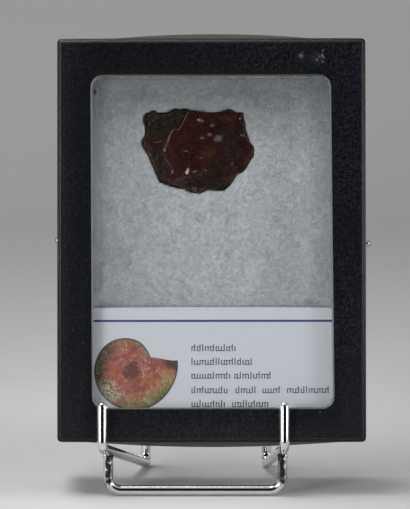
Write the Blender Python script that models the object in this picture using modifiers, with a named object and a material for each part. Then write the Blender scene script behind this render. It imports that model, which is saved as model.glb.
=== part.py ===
"""Ammolite fragment in a glass-topped card mount that leans on a small chromed wire easel.

Lengths are metres and +Z is up. The glass side of the mount faces -Y. The origin is the middle of the
whole thing's footprint, on the surface that the easel stands on.
"""

import math

import bmesh
import bpy
from mathutils import Matrix, Vector, noise

# The mount is a stock card box of 3 1/4 by 4 1/4 by 3/4 inches
BOX_WIDTH = 0.08255
BOX_HEIGHT = 0.10795
BOX_DEPTH = 0.01905
LEAN = math.radians(13.5)
CARD = 0.0012
CLEARANCE = 0.0003

# Lid: its short walls spring outward at their free rear edge
LID_DEPTH = 0.0183
LID_EDGE_RADIUS = 0.0011
BOW_TOP = 0.00265
BOW_BOTTOM = 0.00195
BOW_GROWTH = 1.2
WALL_ZONE = 0.003

# Window, punched a little out of square: (x, height) of its corners, from the lower middle of the face
WINDOW_CORNERS = ((-0.0319, 0.0088), (0.0328, 0.0088), (0.0320, 0.0982), (-0.0323, 0.0982))
WINDOW_RADIUS = 0.0033
GLASS_THICKNESS = 0.0016

# Tray, batting and label behind the glass
TRAY_SLIP = 0.0004
TRAY_EDGE_RADIUS = 0.00025
BATTING_FRONT = 0.0042
BATTING_SINK = 0.0026
BATTING_SINK_MARGIN = 0.016
LABEL_TOP = 0.0359
LABEL_THICKNESS = 0.00028

# Fossil fragment: middle of its outline on the mount, depth of its highest point, and its thickness
FRAGMENT_X = -0.0039
FRAGMENT_Z = 0.0788
FRAGMENT_FRONT = 0.0035
FRAGMENT_THICKNESS = 0.0048
FRAGMENT_DOME = 0.0011
FRAGMENT_REACH = 0.0165
FRAGMENT_RIM = 0.00025
POCKET_MARGIN = 0.0004
PLATE_HEIGHT = 0.00045

# Outline of the fragment seen from the front: (degrees counter-clockwise from +X, millimetres)
FRAGMENT_OUTLINE = (
    (0, 15.4), (8, 14.3), (16, 13.9), (27, 14.2), (35, 15.2), (40, 15.0),
    (48, 13.8), (56, 11.9), (66, 10.6), (84, 9.95), (97, 10.5), (110, 11.2),
    (124, 12.4), (135, 13.5), (141, 16.0), (146, 16.7), (151, 16.5), (160, 14.9),
    (167, 14.45), (175, 14.95), (187, 13.7), (203, 12.9), (220, 13.5), (232, 12.7),
    (244, 12.0), (254, 11.6), (263, 12.0), (275, 12.35), (284, 11.6), (292, 12.1),
    (302, 13.2), (314, 13.35), (325, 13.0), (335, 14.1), (345, 14.5), (352, 15.2),
)

# Raised shell layer on the fragment: its middle from the fragment's, and its outline in the same form
PLATE_MIDDLE = (-0.0018, 0.0003)
PLATE_OUTLINE = (
    (2, 7.2), (28, 6.4), (57, 8.3), (68, 10.1), (84, 9.6), (92, 9.2),
    (104, 8.2), (113, 6.2), (128, 5.6), (142, 6.2), (155, 6.2), (166, 6.3),
    (182, 6.8), (196, 7.2), (217, 6.8), (235, 8.0), (247, 9.0), (262, 7.6),
    (277, 7.3), (290, 7.4), (303, 7.0), (322, 5.8), (335, 5.6),
)

# Pins through the side walls: height up the face, depth from the face
PIN_LEFT_HEIGHT = 0.0541
PIN_RIGHT_HEIGHT = 0.0532
PIN_LEFT_STANDS_OFF = 0.00015
PIN_RIGHT_STANDS_OFF = 0.00065
PIN_DEPTH = 0.0095
PIN_HEAD_RADIUS = 0.0011
PIN_HEAD_HEIGHT = 0.001
PIN_SHAFT_RADIUS = 0.0004
PIN_LENGTH = 0.0105
PIN_POINT = 0.0014
PIN_BORE_RADIUS = 0.0007

# Easel of round wire: hooks in front, runs back to the rear feet, a back rest and a front leg
WIRE_RADIUS = 0.0014
HOOK_LENGTH = 0.0123
HOOK_SPREAD = 0.0243
HOOK_BEND_HEIGHT = 0.01305
HOOK_BEND_RADIUS = 0.0021
REAR_FOOT_Y = 0.0292
REAR_FOOT_FLAT = 0.0022
REAR_FOOT_SPREAD = 0.0166
REAR_FOOT_RADIUS = 0.0026
REST_HEIGHT = 0.0574
REST_RADIUS = 0.008
REAR_SHIFT = 0.00295
LEG_SPREAD = 0.0232
LEG_SHIFT = 0.0005
LEG_CORNER_RADIUS = 0.0034
LEG_TOP = 0.0111
WELD_SWELL = 1.12
BOX_LIFT = 0.00155
BOX_SHIFT = 0.00485
WIRE_SIDES = 12

UP_FACE = Vector((0.0, math.sin(LEAN), math.cos(LEAN)))
INTO_BOX = Vector((0.0, math.cos(LEAN), -math.sin(LEAN)))


def clear_scene():
    for item in list(bpy.data.objects):
        bpy.data.objects.remove(item, do_unlink=True)


def new_collection(name):
    collection = bpy.data.collections.new(name)
    bpy.context.scene.collection.children.link(collection)
    return collection


def new_material(name, colour, roughness, metallic=0.0, alpha=1.0):
    material = bpy.data.materials.new(name)
    material.use_nodes = True
    shader = material.node_tree.nodes["Principled BSDF"]
    shader.inputs["Base Color"].default_value = (*colour, 1.0)
    shader.inputs["Roughness"].default_value = roughness
    shader.inputs["Metallic"].default_value = metallic
    shader.inputs["Alpha"].default_value = alpha
    return material


def new_frame(name, collection, parent=None):
    """An empty that carries pieces."""
    frame = bpy.data.objects.new(name, None)
    frame.parent = parent
    collection.objects.link(frame)
    return frame


def new_piece(name, data, material, collection, parent):
    piece = bpy.data.objects.new(name, data)
    data.materials.append(material)
    piece.parent = parent
    collection.objects.link(piece)
    return piece


def new_cutter(name, bm, collection, parent):
    cutter = bpy.data.objects.new(name, mesh_from(bm, name))
    cutter.parent = parent
    cutter.hide_render = True
    cutter.display_type = "WIRE"
    collection.objects.link(cutter)
    return cutter


def mesh_from(bm, name, smooth_angle=None):
    bmesh.ops.recalc_face_normals(bm, faces=bm.faces)
    mesh = bpy.data.meshes.new(name)
    bm.to_mesh(mesh)
    bm.free()
    if smooth_angle is not None:
        mesh.shade_smooth()
        mesh.set_sharp_from_angle(angle=smooth_angle)
    return mesh


def combine(piece, other, operation):
    modifier = piece.modifiers.new(other.name, "BOOLEAN")
    modifier.operation = operation
    modifier.object = other
    modifier.solver = "EXACT"


def block(low, high):
    """A box between two opposite corners."""
    low = Vector(low)
    high = Vector(high)
    bm = bmesh.new()
    bmesh.ops.create_cube(bm, size=1.0)
    size = Matrix.Diagonal((*(high - low), 1.0))
    bmesh.ops.transform(bm, matrix=Matrix.Translation((low + high) / 2) @ size, verts=bm.verts)
    return bm


def divide(bm, axis, places):
    """Cut every face across an axis at each of the places."""
    for place in places:
        point = Vector((0.0, 0.0, 0.0))
        point[axis] = place
        normal = Vector((0.0, 0.0, 0.0))
        normal[axis] = 1.0
        everything = list(bm.verts) + list(bm.edges) + list(bm.faces)
        bmesh.ops.bisect_plane(bm, geom=everything, plane_co=point, plane_no=normal)


def steps(first, last, count):
    """Evenly spaced values strictly between two limits."""
    return [first + (last - first) * (i + 1) / (count + 1) for i in range(count)]


def round_edges(bm, chosen, radius, segments):
    edges = [edge for edge in bm.edges if chosen(edge)]
    bmesh.ops.bevel(
        bm, geom=edges, offset=radius, offset_type="OFFSET", segments=segments,
        profile=0.5, affect="EDGES", clamp_overlap=True,
    )


def bow_short_walls(bm):
    """Spring the upper and lower walls of the lid outward towards their free edge."""
    for vert in bm.verts:
        if WALL_ZONE < vert.co.z < BOX_HEIGHT - WALL_ZONE:
            continue
        across = 1.0 - (2.0 * vert.co.x / BOX_WIDTH) ** 2
        along = min(max(vert.co.y / LID_DEPTH, 0.0), 1.0) ** BOW_GROWTH
        reach = BOW_TOP if vert.co.z > BOX_HEIGHT / 2 else -BOW_BOTTOM
        vert.co.z += reach * across * along


def divide_walls(bm):
    divide(bm, 0, steps(-BOX_WIDTH / 2, BOX_WIDTH / 2, 13))
    divide(bm, 1, steps(0.0, LID_DEPTH, 3))


def build_lid(material, parts, cutters, parent):
    half = BOX_WIDTH / 2
    body = block((-half, 0.0, 0.0), (half, LID_DEPTH, BOX_HEIGHT))
    free_edge = LID_DEPTH - CLEARANCE
    round_edges(body, lambda e: min(v.co.y for v in e.verts) < free_edge, LID_EDGE_RADIUS, 3)
    divide_walls(body)
    bow_short_walls(body)
    lid = new_piece("lid", mesh_from(body, "lid", math.radians(30)), material, parts, parent)

    inside = half - CARD
    cavity = block((-inside, CARD, CARD), (inside, LID_DEPTH + 0.004, BOX_HEIGHT - CARD))
    divide_walls(cavity)
    bow_short_walls(cavity)
    combine(lid, new_cutter("lid_cavity", cavity, cutters, parent), "DIFFERENCE")
    combine(lid, build_window(cutters, parent), "DIFFERENCE")
    return lid


def build_window(cutters, parent):
    """The window's round-cornered opening, through the front of the lid."""
    (left, low), (right, _), (_, high), _ = WINDOW_CORNERS
    bm = block((left, -0.002, low), (right, CARD + 0.002, high))
    middle = Vector(((left + right) / 2, 0.0, (low + high) / 2))
    corners = {(x < middle.x, z < middle.z): (x, z) for x, z in WINDOW_CORNERS}
    for vert in bm.verts:
        vert.co.x, vert.co.z = corners[(vert.co.x < middle.x, vert.co.z < middle.z)]
    round_edges(bm, lambda e: abs(e.verts[0].co.y - e.verts[1].co.y) > CARD, WINDOW_RADIUS, 5)
    return new_cutter("window", bm, cutters, parent)


def build_glass(material, parts, parent):
    half = BOX_WIDTH / 2 - CARD - CLEARANCE
    front = CARD + CLEARANCE
    rim = CARD + CLEARANCE
    bm = block((-half, front, rim), (half, front + GLASS_THICKNESS, BOX_HEIGHT - rim))
    return new_piece("glass_pane", mesh_from(bm, "glass_pane"), material, parts, parent)


def tray_front():
    return CARD + CLEARANCE + GLASS_THICKNESS + CLEARANCE


def build_tray(material, parts, parent):
    """The tray is open towards the glass and slides inside the lid."""
    side = CARD + TRAY_SLIP
    half = BOX_WIDTH / 2 - side
    bm = block((-half, tray_front(), side), (half, BOX_DEPTH, BOX_HEIGHT - side))
    open_side = [face for face in bm.faces if face.calc_center_median().y < tray_front() + CLEARANCE]
    bmesh.ops.delete(bm, geom=open_side, context="FACES_ONLY")
    tray = new_piece("tray", mesh_from(bm, "tray"), material, parts, parent)
    walls = tray.modifiers.new("card", "SOLIDIFY")
    walls.thickness = CARD
    walls.offset = -1.0
    walls.use_even_offset = True
    softened = tray.modifiers.new("softened", "BEVEL")
    softened.width = TRAY_EDGE_RADIUS
    softened.segments = 2
    softened.limit_method = "ANGLE"
    return tray


def batting_depth(x, z):
    """Depth of the batting's front: full in the middle, sunk towards the walls."""
    inner = BOX_WIDTH / 2 - 2 * CARD
    to_wall = min(inner - abs(x), z - 2 * CARD, BOX_HEIGHT - 2 * CARD - z)
    sink = 1.0 - min(max(to_wall / BATTING_SINK_MARGIN, 0.0), 1.0)
    return BATTING_FRONT + BATTING_SINK * sink * sink


def build_batting(material, parts, parent):
    side = CARD + TRAY_SLIP + CARD + CLEARANCE
    half = BOX_WIDTH / 2 - side
    back = BOX_DEPTH - CARD - CLEARANCE
    bm = block((-half, BATTING_FRONT, side), (half, back, BOX_HEIGHT - side))
    divide(bm, 0, steps(-half, half, 11))
    divide(bm, 2, steps(side, BOX_HEIGHT - side, 15))
    for vert in bm.verts:
        if vert.co.y < back - CLEARANCE:
            vert.co.y = batting_depth(vert.co.x, vert.co.z)
    return new_piece("batting", mesh_from(bm, "batting", math.radians(40)), material, parts, parent)


def build_label(material, parts, parent):
    front = tray_front() + 0.0001
    side = CARD + TRAY_SLIP + CARD + CLEARANCE
    half = BOX_WIDTH / 2 - side
    bm = block((-half, front, side), (half, front + LABEL_THICKNESS, LABEL_TOP))
    return new_piece("label_card", mesh_from(bm, "label_card"), material, parts, parent)


def outline_radius(outline, angle):
    """Distance from the middle to an outline, in metres, along a direction in radians."""
    degrees = math.degrees(angle) % 360.0
    knots = list(outline) + [(outline[0][0] + 360.0, outline[0][1])]
    if degrees < knots[0][0]:
        degrees += 360.0
    for (start, near), (end, far) in zip(knots, knots[1:]):
        if degrees <= end:
            return 0.001 * (near + (far - near) * (degrees - start) / (end - start))
    return 0.001 * knots[-1][1]


def shell_depth(x, z):
    """Depth of the fragment's gently domed front, with the low waves of the old shell."""
    dome = FRAGMENT_DOME * (math.hypot(x, z) / FRAGMENT_REACH) ** 2
    waves = 0.00012 * noise.noise(Vector((x, z, 0.0)) * 260.0)
    return FRAGMENT_FRONT + PLATE_HEIGHT + dome + waves


def slab(outline, middle, margin, front, back, rim):
    """A flat-lying stone: a sphere drawn out to an outline, with a shaped front and back."""
    face_share = 0.42
    bm = bmesh.new()
    bmesh.ops.create_uvsphere(bm, u_segments=72, v_segments=14, radius=1.0)
    for vert in bm.verts:
        angle = math.atan2(vert.co.y, vert.co.x)
        turn = math.acos(min(max(vert.co.z, -1.0), 1.0)) / math.pi
        share = min(min(turn, 1.0 - turn) / face_share, 1.0)
        edge = min(max((turn - face_share) / (1.0 - 2.0 * face_share), 0.0), 1.0)
        reach = (outline_radius(outline, angle) + margin) * share
        reach += rim * math.sin(math.pi * edge) * share
        x = middle[0] + reach * math.cos(angle)
        z = middle[1] + reach * math.sin(angle)
        near = front(x, z)
        vert.co = Vector((x, near + (back(x, z) - near) * edge, z))
    return bm


def build_fragment(material, parts, cutters, parent):
    """One stone: a domed slab with a shell layer standing proud of it."""
    def back(x, z):
        rough = 0.0003 * noise.noise(Vector((x, 0.01, z)) * 330.0)
        return FRAGMENT_FRONT + FRAGMENT_THICKNESS + rough

    body = slab(FRAGMENT_OUTLINE, (0.0, 0.0), 0.0, shell_depth, back, FRAGMENT_RIM)
    fragment = new_piece(
        "ammolite_fragment", mesh_from(body, "ammolite_fragment", math.radians(35)), material, parts, parent)
    fragment.location = (FRAGMENT_X, 0.0, FRAGMENT_Z)

    def plate_front(x, z):
        return shell_depth(x, z) - PLATE_HEIGHT

    def plate_back(x, z):
        return shell_depth(x, z) + PLATE_HEIGHT

    plate = slab(PLATE_OUTLINE, PLATE_MIDDLE, 0.0, plate_front, plate_back, 0.0)
    layer = new_cutter("shell_layer", plate, cutters, parent)
    layer.location = fragment.location
    combine(fragment, layer, "UNION")
    return fragment


def build_pocket(cutters, parent):
    """The hollow that the fragment presses into the batting."""
    def front(x, z):
        return 0.0

    def back(x, z):
        return FRAGMENT_FRONT + FRAGMENT_THICKNESS + 2 * POCKET_MARGIN

    margin = FRAGMENT_RIM + POCKET_MARGIN
    pocket = new_cutter(
        "pocket", slab(FRAGMENT_OUTLINE, (0.0, 0.0), margin, front, back, 0.0), cutters, parent)
    pocket.location = (FRAGMENT_X, 0.0, FRAGMENT_Z)
    return pocket


def pin_mesh():
    """Profile of a round-headed pin, turned about Z: down its outer side from the head's top."""
    dome = [math.radians(angle) for angle in (65, 40, 15)]
    points = [(0.0, PIN_HEAD_HEIGHT)]
    points += [(PIN_HEAD_RADIUS * math.cos(a), PIN_HEAD_HEIGHT * math.sin(a)) for a in dome]
    points += [(PIN_HEAD_RADIUS, 0.0), (PIN_SHAFT_RADIUS, 0.0)]
    points += [(PIN_SHAFT_RADIUS, PIN_POINT - PIN_LENGTH), (0.0, -PIN_LENGTH)]
    mesh = bpy.data.meshes.new("pin")
    edges = [(i, i + 1) for i in range(len(points) - 1)]
    mesh.from_pydata([(x, 0.0, z) for x, z in points], edges, [])
    return mesh


def build_pin(name, side, height, stands_off, material, parts, cutters, parent):
    """A pin driven inward through a side wall, its head standing a little off the card."""
    place = (side * (BOX_WIDTH / 2 + stands_off), PIN_DEPTH, height)
    turn = (0.0, side * math.pi / 2, 0.0)
    pin = new_piece(name, pin_mesh(), material, parts, parent)
    pin.location = place
    pin.rotation_euler = turn
    lathe = pin.modifiers.new("turned", "SCREW")
    lathe.steps = 16
    lathe.render_steps = 16
    lathe.use_merge_vertices = True
    lathe.merge_threshold = 0.00001

    bore = bmesh.new()
    bmesh.ops.create_cone(
        bore, cap_ends=True, segments=16, radius1=PIN_BORE_RADIUS, radius2=PIN_BORE_RADIUS,
        depth=2 * (PIN_LENGTH + CLEARANCE))
    cutter = new_cutter(name + "_bore", bore, cutters, parent)
    cutter.location = place
    cutter.rotation_euler = turn
    return cutter


def filleted(points, radii, turn_step=math.radians(18)):
    """A path through corner points, each corner rounded to its radius."""
    path = [points[0]]
    for before, corner, after, radius in zip(points, points[1:], points[2:], radii):
        arrive = (before - corner).normalized()
        leave = (after - corner).normalized()
        opening = arrive.angle(leave)
        centre = corner + (arrive + leave).normalized() * radius / math.sin(opening / 2)
        tangent = radius / math.tan(opening / 2)
        spoke = corner + arrive * tangent - centre
        axis = (-arrive).cross(leave).normalized()
        turn = math.pi - opening
        count = max(2, round(turn / turn_step))
        for i in range(count + 1):
            path.append(centre + Matrix.Rotation(turn * i / count, 3, axis) @ spoke)
    path.append(points[-1])
    return path


def domed(path, swell=1.0):
    """A path's points with their share of the full wire radius, both ends run out to a dome."""
    def run_out(end, inner):
        outward = (end - inner).normalized()
        angles = [math.radians(angle) for angle in (0, 25, 50, 72, 85)]
        base = end - outward * WIRE_RADIUS
        return [(base + outward * WIRE_RADIUS * math.sin(a), swell * math.cos(a)) for a in angles]

    start = run_out(path[0], path[1])[::-1]
    finish = run_out(path[-1], path[-2])
    return start + [(point, 1.0) for point in path[1:-1]] + finish


def build_wire(name, path, swell, material, parts, parent):
    curve = bpy.data.curves.new(name, "CURVE")
    curve.dimensions = "3D"
    curve.bevel_depth = WIRE_RADIUS
    curve.bevel_resolution = (WIRE_SIDES - 4) // 2
    curve.use_fill_caps = True
    places = domed(path, swell)
    spline = curve.splines.new("POLY")
    spline.points.add(len(places) - 1)
    for knot, (place, share) in zip(spline.points, places):
        knot.co = (*place, 1.0)
        knot.radius = share
        knot.tilt = math.pi / WIRE_SIDES  # a flat of the wire faces down, not an edge
    spline.use_smooth = True
    return new_piece(name, curve, material, parts, parent)


def hook_bend(side):
    return Vector((side * HOOK_SPREAD, 0.0, HOOK_BEND_HEIGHT))


def build_easel_wire(material, parts, parent):
    """One wire: hook, bend, run, rear foot, back rest, and the same back to the other hook."""
    wire_gap = WIRE_RADIUS + CLEARANCE
    rest = hook_bend(0) + INTO_BOX * (2 * wire_gap + BOX_DEPTH)
    rest += UP_FACE * ((REST_HEIGHT - rest.z) / UP_FACE.z)

    def one_side(side):
        bend = hook_bend(side)
        x = side * REAR_FOOT_SPREAD + REAR_SHIFT
        return [
            bend + UP_FACE * HOOK_LENGTH,
            bend,
            Vector((x, REAR_FOOT_Y - REAR_FOOT_FLAT, WIRE_RADIUS)),
            Vector((x, REAR_FOOT_Y, WIRE_RADIUS)),
            Vector((x, rest.y, rest.z)),
        ]

    corners = one_side(-1) + one_side(1)[::-1]
    radii = [HOOK_BEND_RADIUS, REAR_FOOT_RADIUS, REAR_FOOT_RADIUS, REST_RADIUS]
    path = filleted(corners, radii + radii[::-1])
    return build_wire("easel_wire", path, 1.0, material, parts, parent)


def build_front_leg(material, parts, parent):
    """A second wire bent to a U, welded upright under the two hook bends."""
    def post(side, height):
        return Vector((side * LEG_SPREAD + LEG_SHIFT, 0.0, height))

    corners = [post(-1, LEG_TOP), post(-1, WIRE_RADIUS), post(1, WIRE_RADIUS), post(1, LEG_TOP)]
    path = filleted(corners, [LEG_CORNER_RADIUS, LEG_CORNER_RADIUS])
    return build_wire("easel_front_leg", path, WELD_SWELL, material, parts, parent)


def set_down(frame, parts):
    """Move the whole thing so that the origin is under the middle of its footprint."""
    bpy.context.view_layer.update()
    graph = bpy.context.evaluated_depsgraph_get()
    points = []
    for piece in parts.objects:
        if piece.type == "EMPTY":
            continue
        evaluated = piece.evaluated_get(graph)
        mesh = evaluated.to_mesh()
        points += [evaluated.matrix_world @ vert.co for vert in mesh.vertices]
        evaluated.to_mesh_clear()
    low = Vector([min(point[axis] for point in points) for axis in range(3)])
    high = Vector([max(point[axis] for point in points) for axis in range(3)])
    frame.location = (-(low.x + high.x) / 2, -(low.y + high.y) / 2, -low.z)
    bpy.context.view_layer.update()


def main():
    clear_scene()
    parts = new_collection("ammolite_specimen")
    cutters = new_collection("cutters")

    black_card = new_material("black_card", (0.010, 0.010, 0.012), 0.55)
    inner_card = new_material("tray_card", (0.016, 0.015, 0.015), 0.75)
    glass = new_material("glass", (0.90, 0.94, 0.93), 0.03, alpha=0.3)
    cotton = new_material("cotton", (0.62, 0.64, 0.66), 0.95)
    shell = new_material("ammolite", (0.075, 0.022, 0.014), 0.28)
    paper = new_material("label_paper", (0.66, 0.68, 0.70), 0.6)
    steel = new_material("pin_steel", (0.60, 0.58, 0.55), 0.3, metallic=1.0)
    chrome = new_material("chrome", (0.80, 0.81, 0.82), 0.08, metallic=1.0)

    whole = new_frame("whole", parts)
    easel = new_frame("easel", parts, whole)
    mount = new_frame("mount", parts, whole)
    mount.rotation_euler.x = -LEAN
    mount.location = hook_bend(0) + INTO_BOX * (WIRE_RADIUS + CLEARANCE) + UP_FACE * BOX_LIFT
    mount.location.x += BOX_SHIFT

    lid = build_lid(black_card, parts, cutters, mount)
    build_glass(glass, parts, mount)
    tray = build_tray(inner_card, parts, mount)
    batting = build_batting(cotton, parts, mount)
    build_label(paper, parts, mount)
    build_fragment(shell, parts, cutters, mount)
    combine(batting, build_pocket(cutters, mount), "DIFFERENCE")
    pins = (
        ("pin_left", -1, PIN_LEFT_HEIGHT, PIN_LEFT_STANDS_OFF),
        ("pin_right", 1, PIN_RIGHT_HEIGHT, PIN_RIGHT_STANDS_OFF),
    )
    for name, side, height, stands_off in pins:
        bore = build_pin(name, side, height, stands_off, steel, parts, cutters, mount)
        for piece in (lid, tray, batting):
            combine(piece, bore, "DIFFERENCE")

    build_easel_wire(chrome, parts, easel)
    build_front_leg(chrome, parts, easel)
    set_down(whole, parts)


main()
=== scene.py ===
"""Looks of an ammolite fragment in a glazed card mount that leans on a chromed wire easel.

Lengths are metres and +Z is up. The glass side of the mount faces -Y.
"""

import math
import random

import bmesh
import bpy
import numpy as np
from bpy.props import FloatProperty, FloatVectorProperty, IntProperty, PointerProperty
from bpy.types import Operator, Panel, PropertyGroup
from mathutils import Matrix, Vector, noise


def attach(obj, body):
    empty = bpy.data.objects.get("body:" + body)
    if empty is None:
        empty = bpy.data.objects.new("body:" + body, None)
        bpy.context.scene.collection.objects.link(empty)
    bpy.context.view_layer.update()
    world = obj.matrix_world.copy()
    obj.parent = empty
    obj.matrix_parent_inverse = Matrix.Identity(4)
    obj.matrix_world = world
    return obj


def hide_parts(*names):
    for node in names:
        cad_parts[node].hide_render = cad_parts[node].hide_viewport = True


bl_info = {
    "name": "Ammolite specimen mount",
    "version": (1, 0, 0),
    "blender": (4, 5, 0),
    "location": "3D View > Sidebar > Specimen",
    "description": "Builds the pieces of a mounted ammolite fragment on its wire easel",
    "category": "Add Mesh",
}

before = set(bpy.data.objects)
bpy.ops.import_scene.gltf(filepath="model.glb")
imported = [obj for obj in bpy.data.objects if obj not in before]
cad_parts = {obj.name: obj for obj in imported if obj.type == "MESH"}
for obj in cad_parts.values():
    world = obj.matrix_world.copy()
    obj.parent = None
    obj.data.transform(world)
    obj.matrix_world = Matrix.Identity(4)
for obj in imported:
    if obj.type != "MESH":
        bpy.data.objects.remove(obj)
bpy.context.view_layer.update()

# The card mount: where the lower middle of its face stands, how far it leans, and its size
MOUNT_ORIGIN = Vector((-0.00025, -0.020042, 0.014108))
LEAN = math.radians(13.5)
MOUNT = Matrix.Translation(MOUNT_ORIGIN) @ Matrix.Rotation(-LEAN, 4, "X")
UP_FACE = Vector((0.0, math.sin(LEAN), math.cos(LEAN)))
INTO_BOX = Vector((0.0, math.cos(LEAN), -math.sin(LEAN)))
BOX_WIDTH = 0.08255
BOX_HEIGHT = 0.10795
BOX_DEPTH = 0.01905
CARD = 0.0012
CLEARANCE = 0.0003

# Window: its lower edge, height, corner radius, and its sides at the lower and upper edge
WINDOW_LOW = 0.0088
WINDOW_TALL = 0.0894
WINDOW_RADIUS = 0.0033
WINDOW_LEFT = (-0.0319, -0.0323)
WINDOW_RIGHT = (0.0328, 0.0320)
# How far outside the window a point of the lid still counts as its edge
WINDOW_NEAR = 0.0002

# Batting and label behind the glass
FILL_SIDE = 0.0031
FILL_HALF = BOX_WIDTH / 2 - FILL_SIDE
FILL_FRONT = 0.0038
FILL_BACK = 0.01755
FILL_MARGIN = 0.010
# The hollow for the stone: its shoulder's depth, its bottom's depth, and how far out it slopes
POCKET_SHOULDER = 0.0049
POCKET_BOTTOM = 0.0090
POCKET_SLOPE = 0.0060
# Area of the filling's front that the strands are counted over, in square metres
STRAND_AREA = 0.0048
LABEL_FRONT = 0.0035
LABEL_TOP = 0.0359
LABEL_THICKNESS = 0.00028
INK = 0.00002
SPIRAL_MIDDLE = Vector((-0.0214, 0.0, 0.0190))
# The printed coil: degrees back from its mouth, and the share of its widest radius there
COIL = ((0, 1.0), (40, 0.90), (103, 0.83), (150, 0.81), (193, 0.795), (243, 0.775), (283, 0.70), (310, 0.635),
        (339, 0.54), (360, 0.49))
# Coloured patches of the coil: two limits of the noise that mixes two inks, the inks, and the
# bounds: turns in radians between which it comes in, and goes, and two limits of the ragged radius
COIL_PATCHES = (
    (0.36, 0.64, (0.42, 0.22, 0.095), (0.58, 0.42, 0.24), (0.1, 0.5, 2.0, 2.6, 0.58, 0.86)),
    (0.36, 0.64, (0.095, 0.120, 0.050), (0.28, 0.33, 0.13), (0.40, 0.75, 1.55, 1.95, 0.74, 0.90)),
    (0.42, 0.60, (0.16, 0.14, 0.065), (0.76, 0.71, 0.53), (2.2, 2.6, 3.2, 3.5, 0.50, 0.72)),
    (0.44, 0.66, (0.050, 0.044, 0.034), (0.30, 0.25, 0.16), (2.9, 3.3, 4.2, 4.9, 0.56, 0.84)),
    (0.36, 0.64, (0.20, 0.13, 0.070), (0.50, 0.40, 0.27), (4.3, 4.8, 6.0, 6.3, 0.78, 0.98)),
)
# Half the height of the printed line
RULE_HALF = 0.00029

# Fossil fragment: middle of its outline on the mount, depth of its highest point, and its thickness
STONE_X = -0.0039
STONE_Z = 0.0788
STONE_FRONT = 0.0035
STONE_THICKNESS = 0.0048
STONE_DOME = 0.0011
STONE_REACH = 0.0165
PLATE_HEIGHT = 0.00024

# Outline of the fragment seen from the front, from its middle, in millimetres, counter-clockwise
STONE_OUTLINE = (
    (15.2, 0.1), (14.3, 1.2), (13.6, 3.0), (13.0, 4.8), (12.6, 7.4), (12.2, 9.5), (10.5, 9.5), (9.9, 9.8),
    (9.0, 10.3), (7.9, 10.2), (6.8, 9.7), (4.1, 9.4), (2.1, 9.6), (-0.3, 9.9), (-2.3, 10.2), (-3.3, 10.6),
    (-4.3, 10.1), (-5.5, 10.5), (-6.7, 10.2), (-7.8, 9.6), (-9.6, 9.4), (-10.6, 9.4), (-11.3, 9.9),
    (-12.0, 10.1), (-12.8, 9.6), (-13.9, 9.4), (-14.4, 8.4), (-14.3, 7.2), (-13.9, 5.7), (-13.8, 4.1),
    (-14.0, 3.2), (-14.7, 2.0), (-14.7, 1.0), (-14.2, 0.0), (-13.1, -1.8), (-12.0, -4.3), (-11.2, -6.0),
    (-10.4, -8.1), (-9.9, -9.1), (-7.4, -10.1), (-5.6, -10.7), (-3.2, -11.0), (-2.5, -11.6), (-1.2, -11.9),
    (-0.1, -12.1), (0.9, -12.3), (2.0, -11.6), (3.0, -11.2), (5.0, -11.3), (7.2, -11.4), (9.0, -9.9),
    (9.8, -8.4), (10.8, -7.0), (12.1, -6.6), (13.2, -5.4), (14.2, -3.6), (15.2, -2.3), (15.4, -0.5),
)

# Raised shell layer on the fragment: its middle from the fragment's in metres, and its outline
PLATE_MIDDLE = (-0.0018, 0.0003)
PLATE_OUTLINE = (
    (7.2, 0.3), (5.7, 3.0), (4.5, 7.0), (3.8, 9.4), (1.0, 9.5), (-0.3, 9.2), (-1.5, 7.4), (-2.3, 5.6),
    (-3.2, 4.5), (-4.2, 4.7), (-5.0, 4.1), (-5.7, 2.5), (-6.1, 0.9), (-6.9, -0.6), (-7.0, -2.0),
    (-6.2, -3.6), (-5.4, -5.6), (-4.8, -7.6), (-3.7, -9.2), (-1.1, -9.0), (0.9, -8.6), (2.5, -7.8),
    (3.8, -5.9), (4.6, -3.6), (5.1, -2.4),
)

# Zones of the stone's colour: (x, z, half width, half height, turn in degrees), in millimetres
AMBER_ZONES = (
    (-13.6, 0.6, 1.9, 3.4, 10), (-12.0, -3.6, 1.8, 3.4, 22), (14.0, -2.9, 1.7, 4.2, -22),
    (3.2, -1.6, 3.4, 2.4, 35), (8.4, 8.0, 3.4, 1.2, 0), (9.6, -8.2, 2.6, 1.6, 35),
    (-5.5, -9.0, 3.6, 1.2, -12),
)
MATRIX_ZONES = (
    (-9.0, 8.7, 7.2, 2.6, 4), (-4.0, 9.4, 4.4, 1.7, 4), (-11.6, 6.2, 4.4, 2.6, 15),
    (-0.6, -11.3, 6.6, 1.3, -4), (9.0, 9.9, 2.6, 0.8, 0), (-9.5, -9.6, 2.8, 1.2, -25),
)
OLIVE_ZONES = (
    (3.2, -7.4, 5.0, 2.4, 10), (4.2, -4.0, 2.6, 2.0, 0), (-11.8, 3.6, 3.4, 2.8, 0), (-8.0, 7.0, 5.4, 2.0, 10),
    (-10.6, -2.6, 2.6, 3.6, 20), (6.8, -10.2, 3.2, 1.6, 15),
)
VIOLET_ZONES = (
    (9.2, -2.6, 4.2, 5.2, 0), (8.6, 2.9, 3.6, 4.0, 0), (-7.9, 4.6, 2.8, 2.2, 20), (-8.4, -5.6, 2.8, 3.0, 0),
    (7.0, -8.8, 3.8, 2.2, 20),
)

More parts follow.
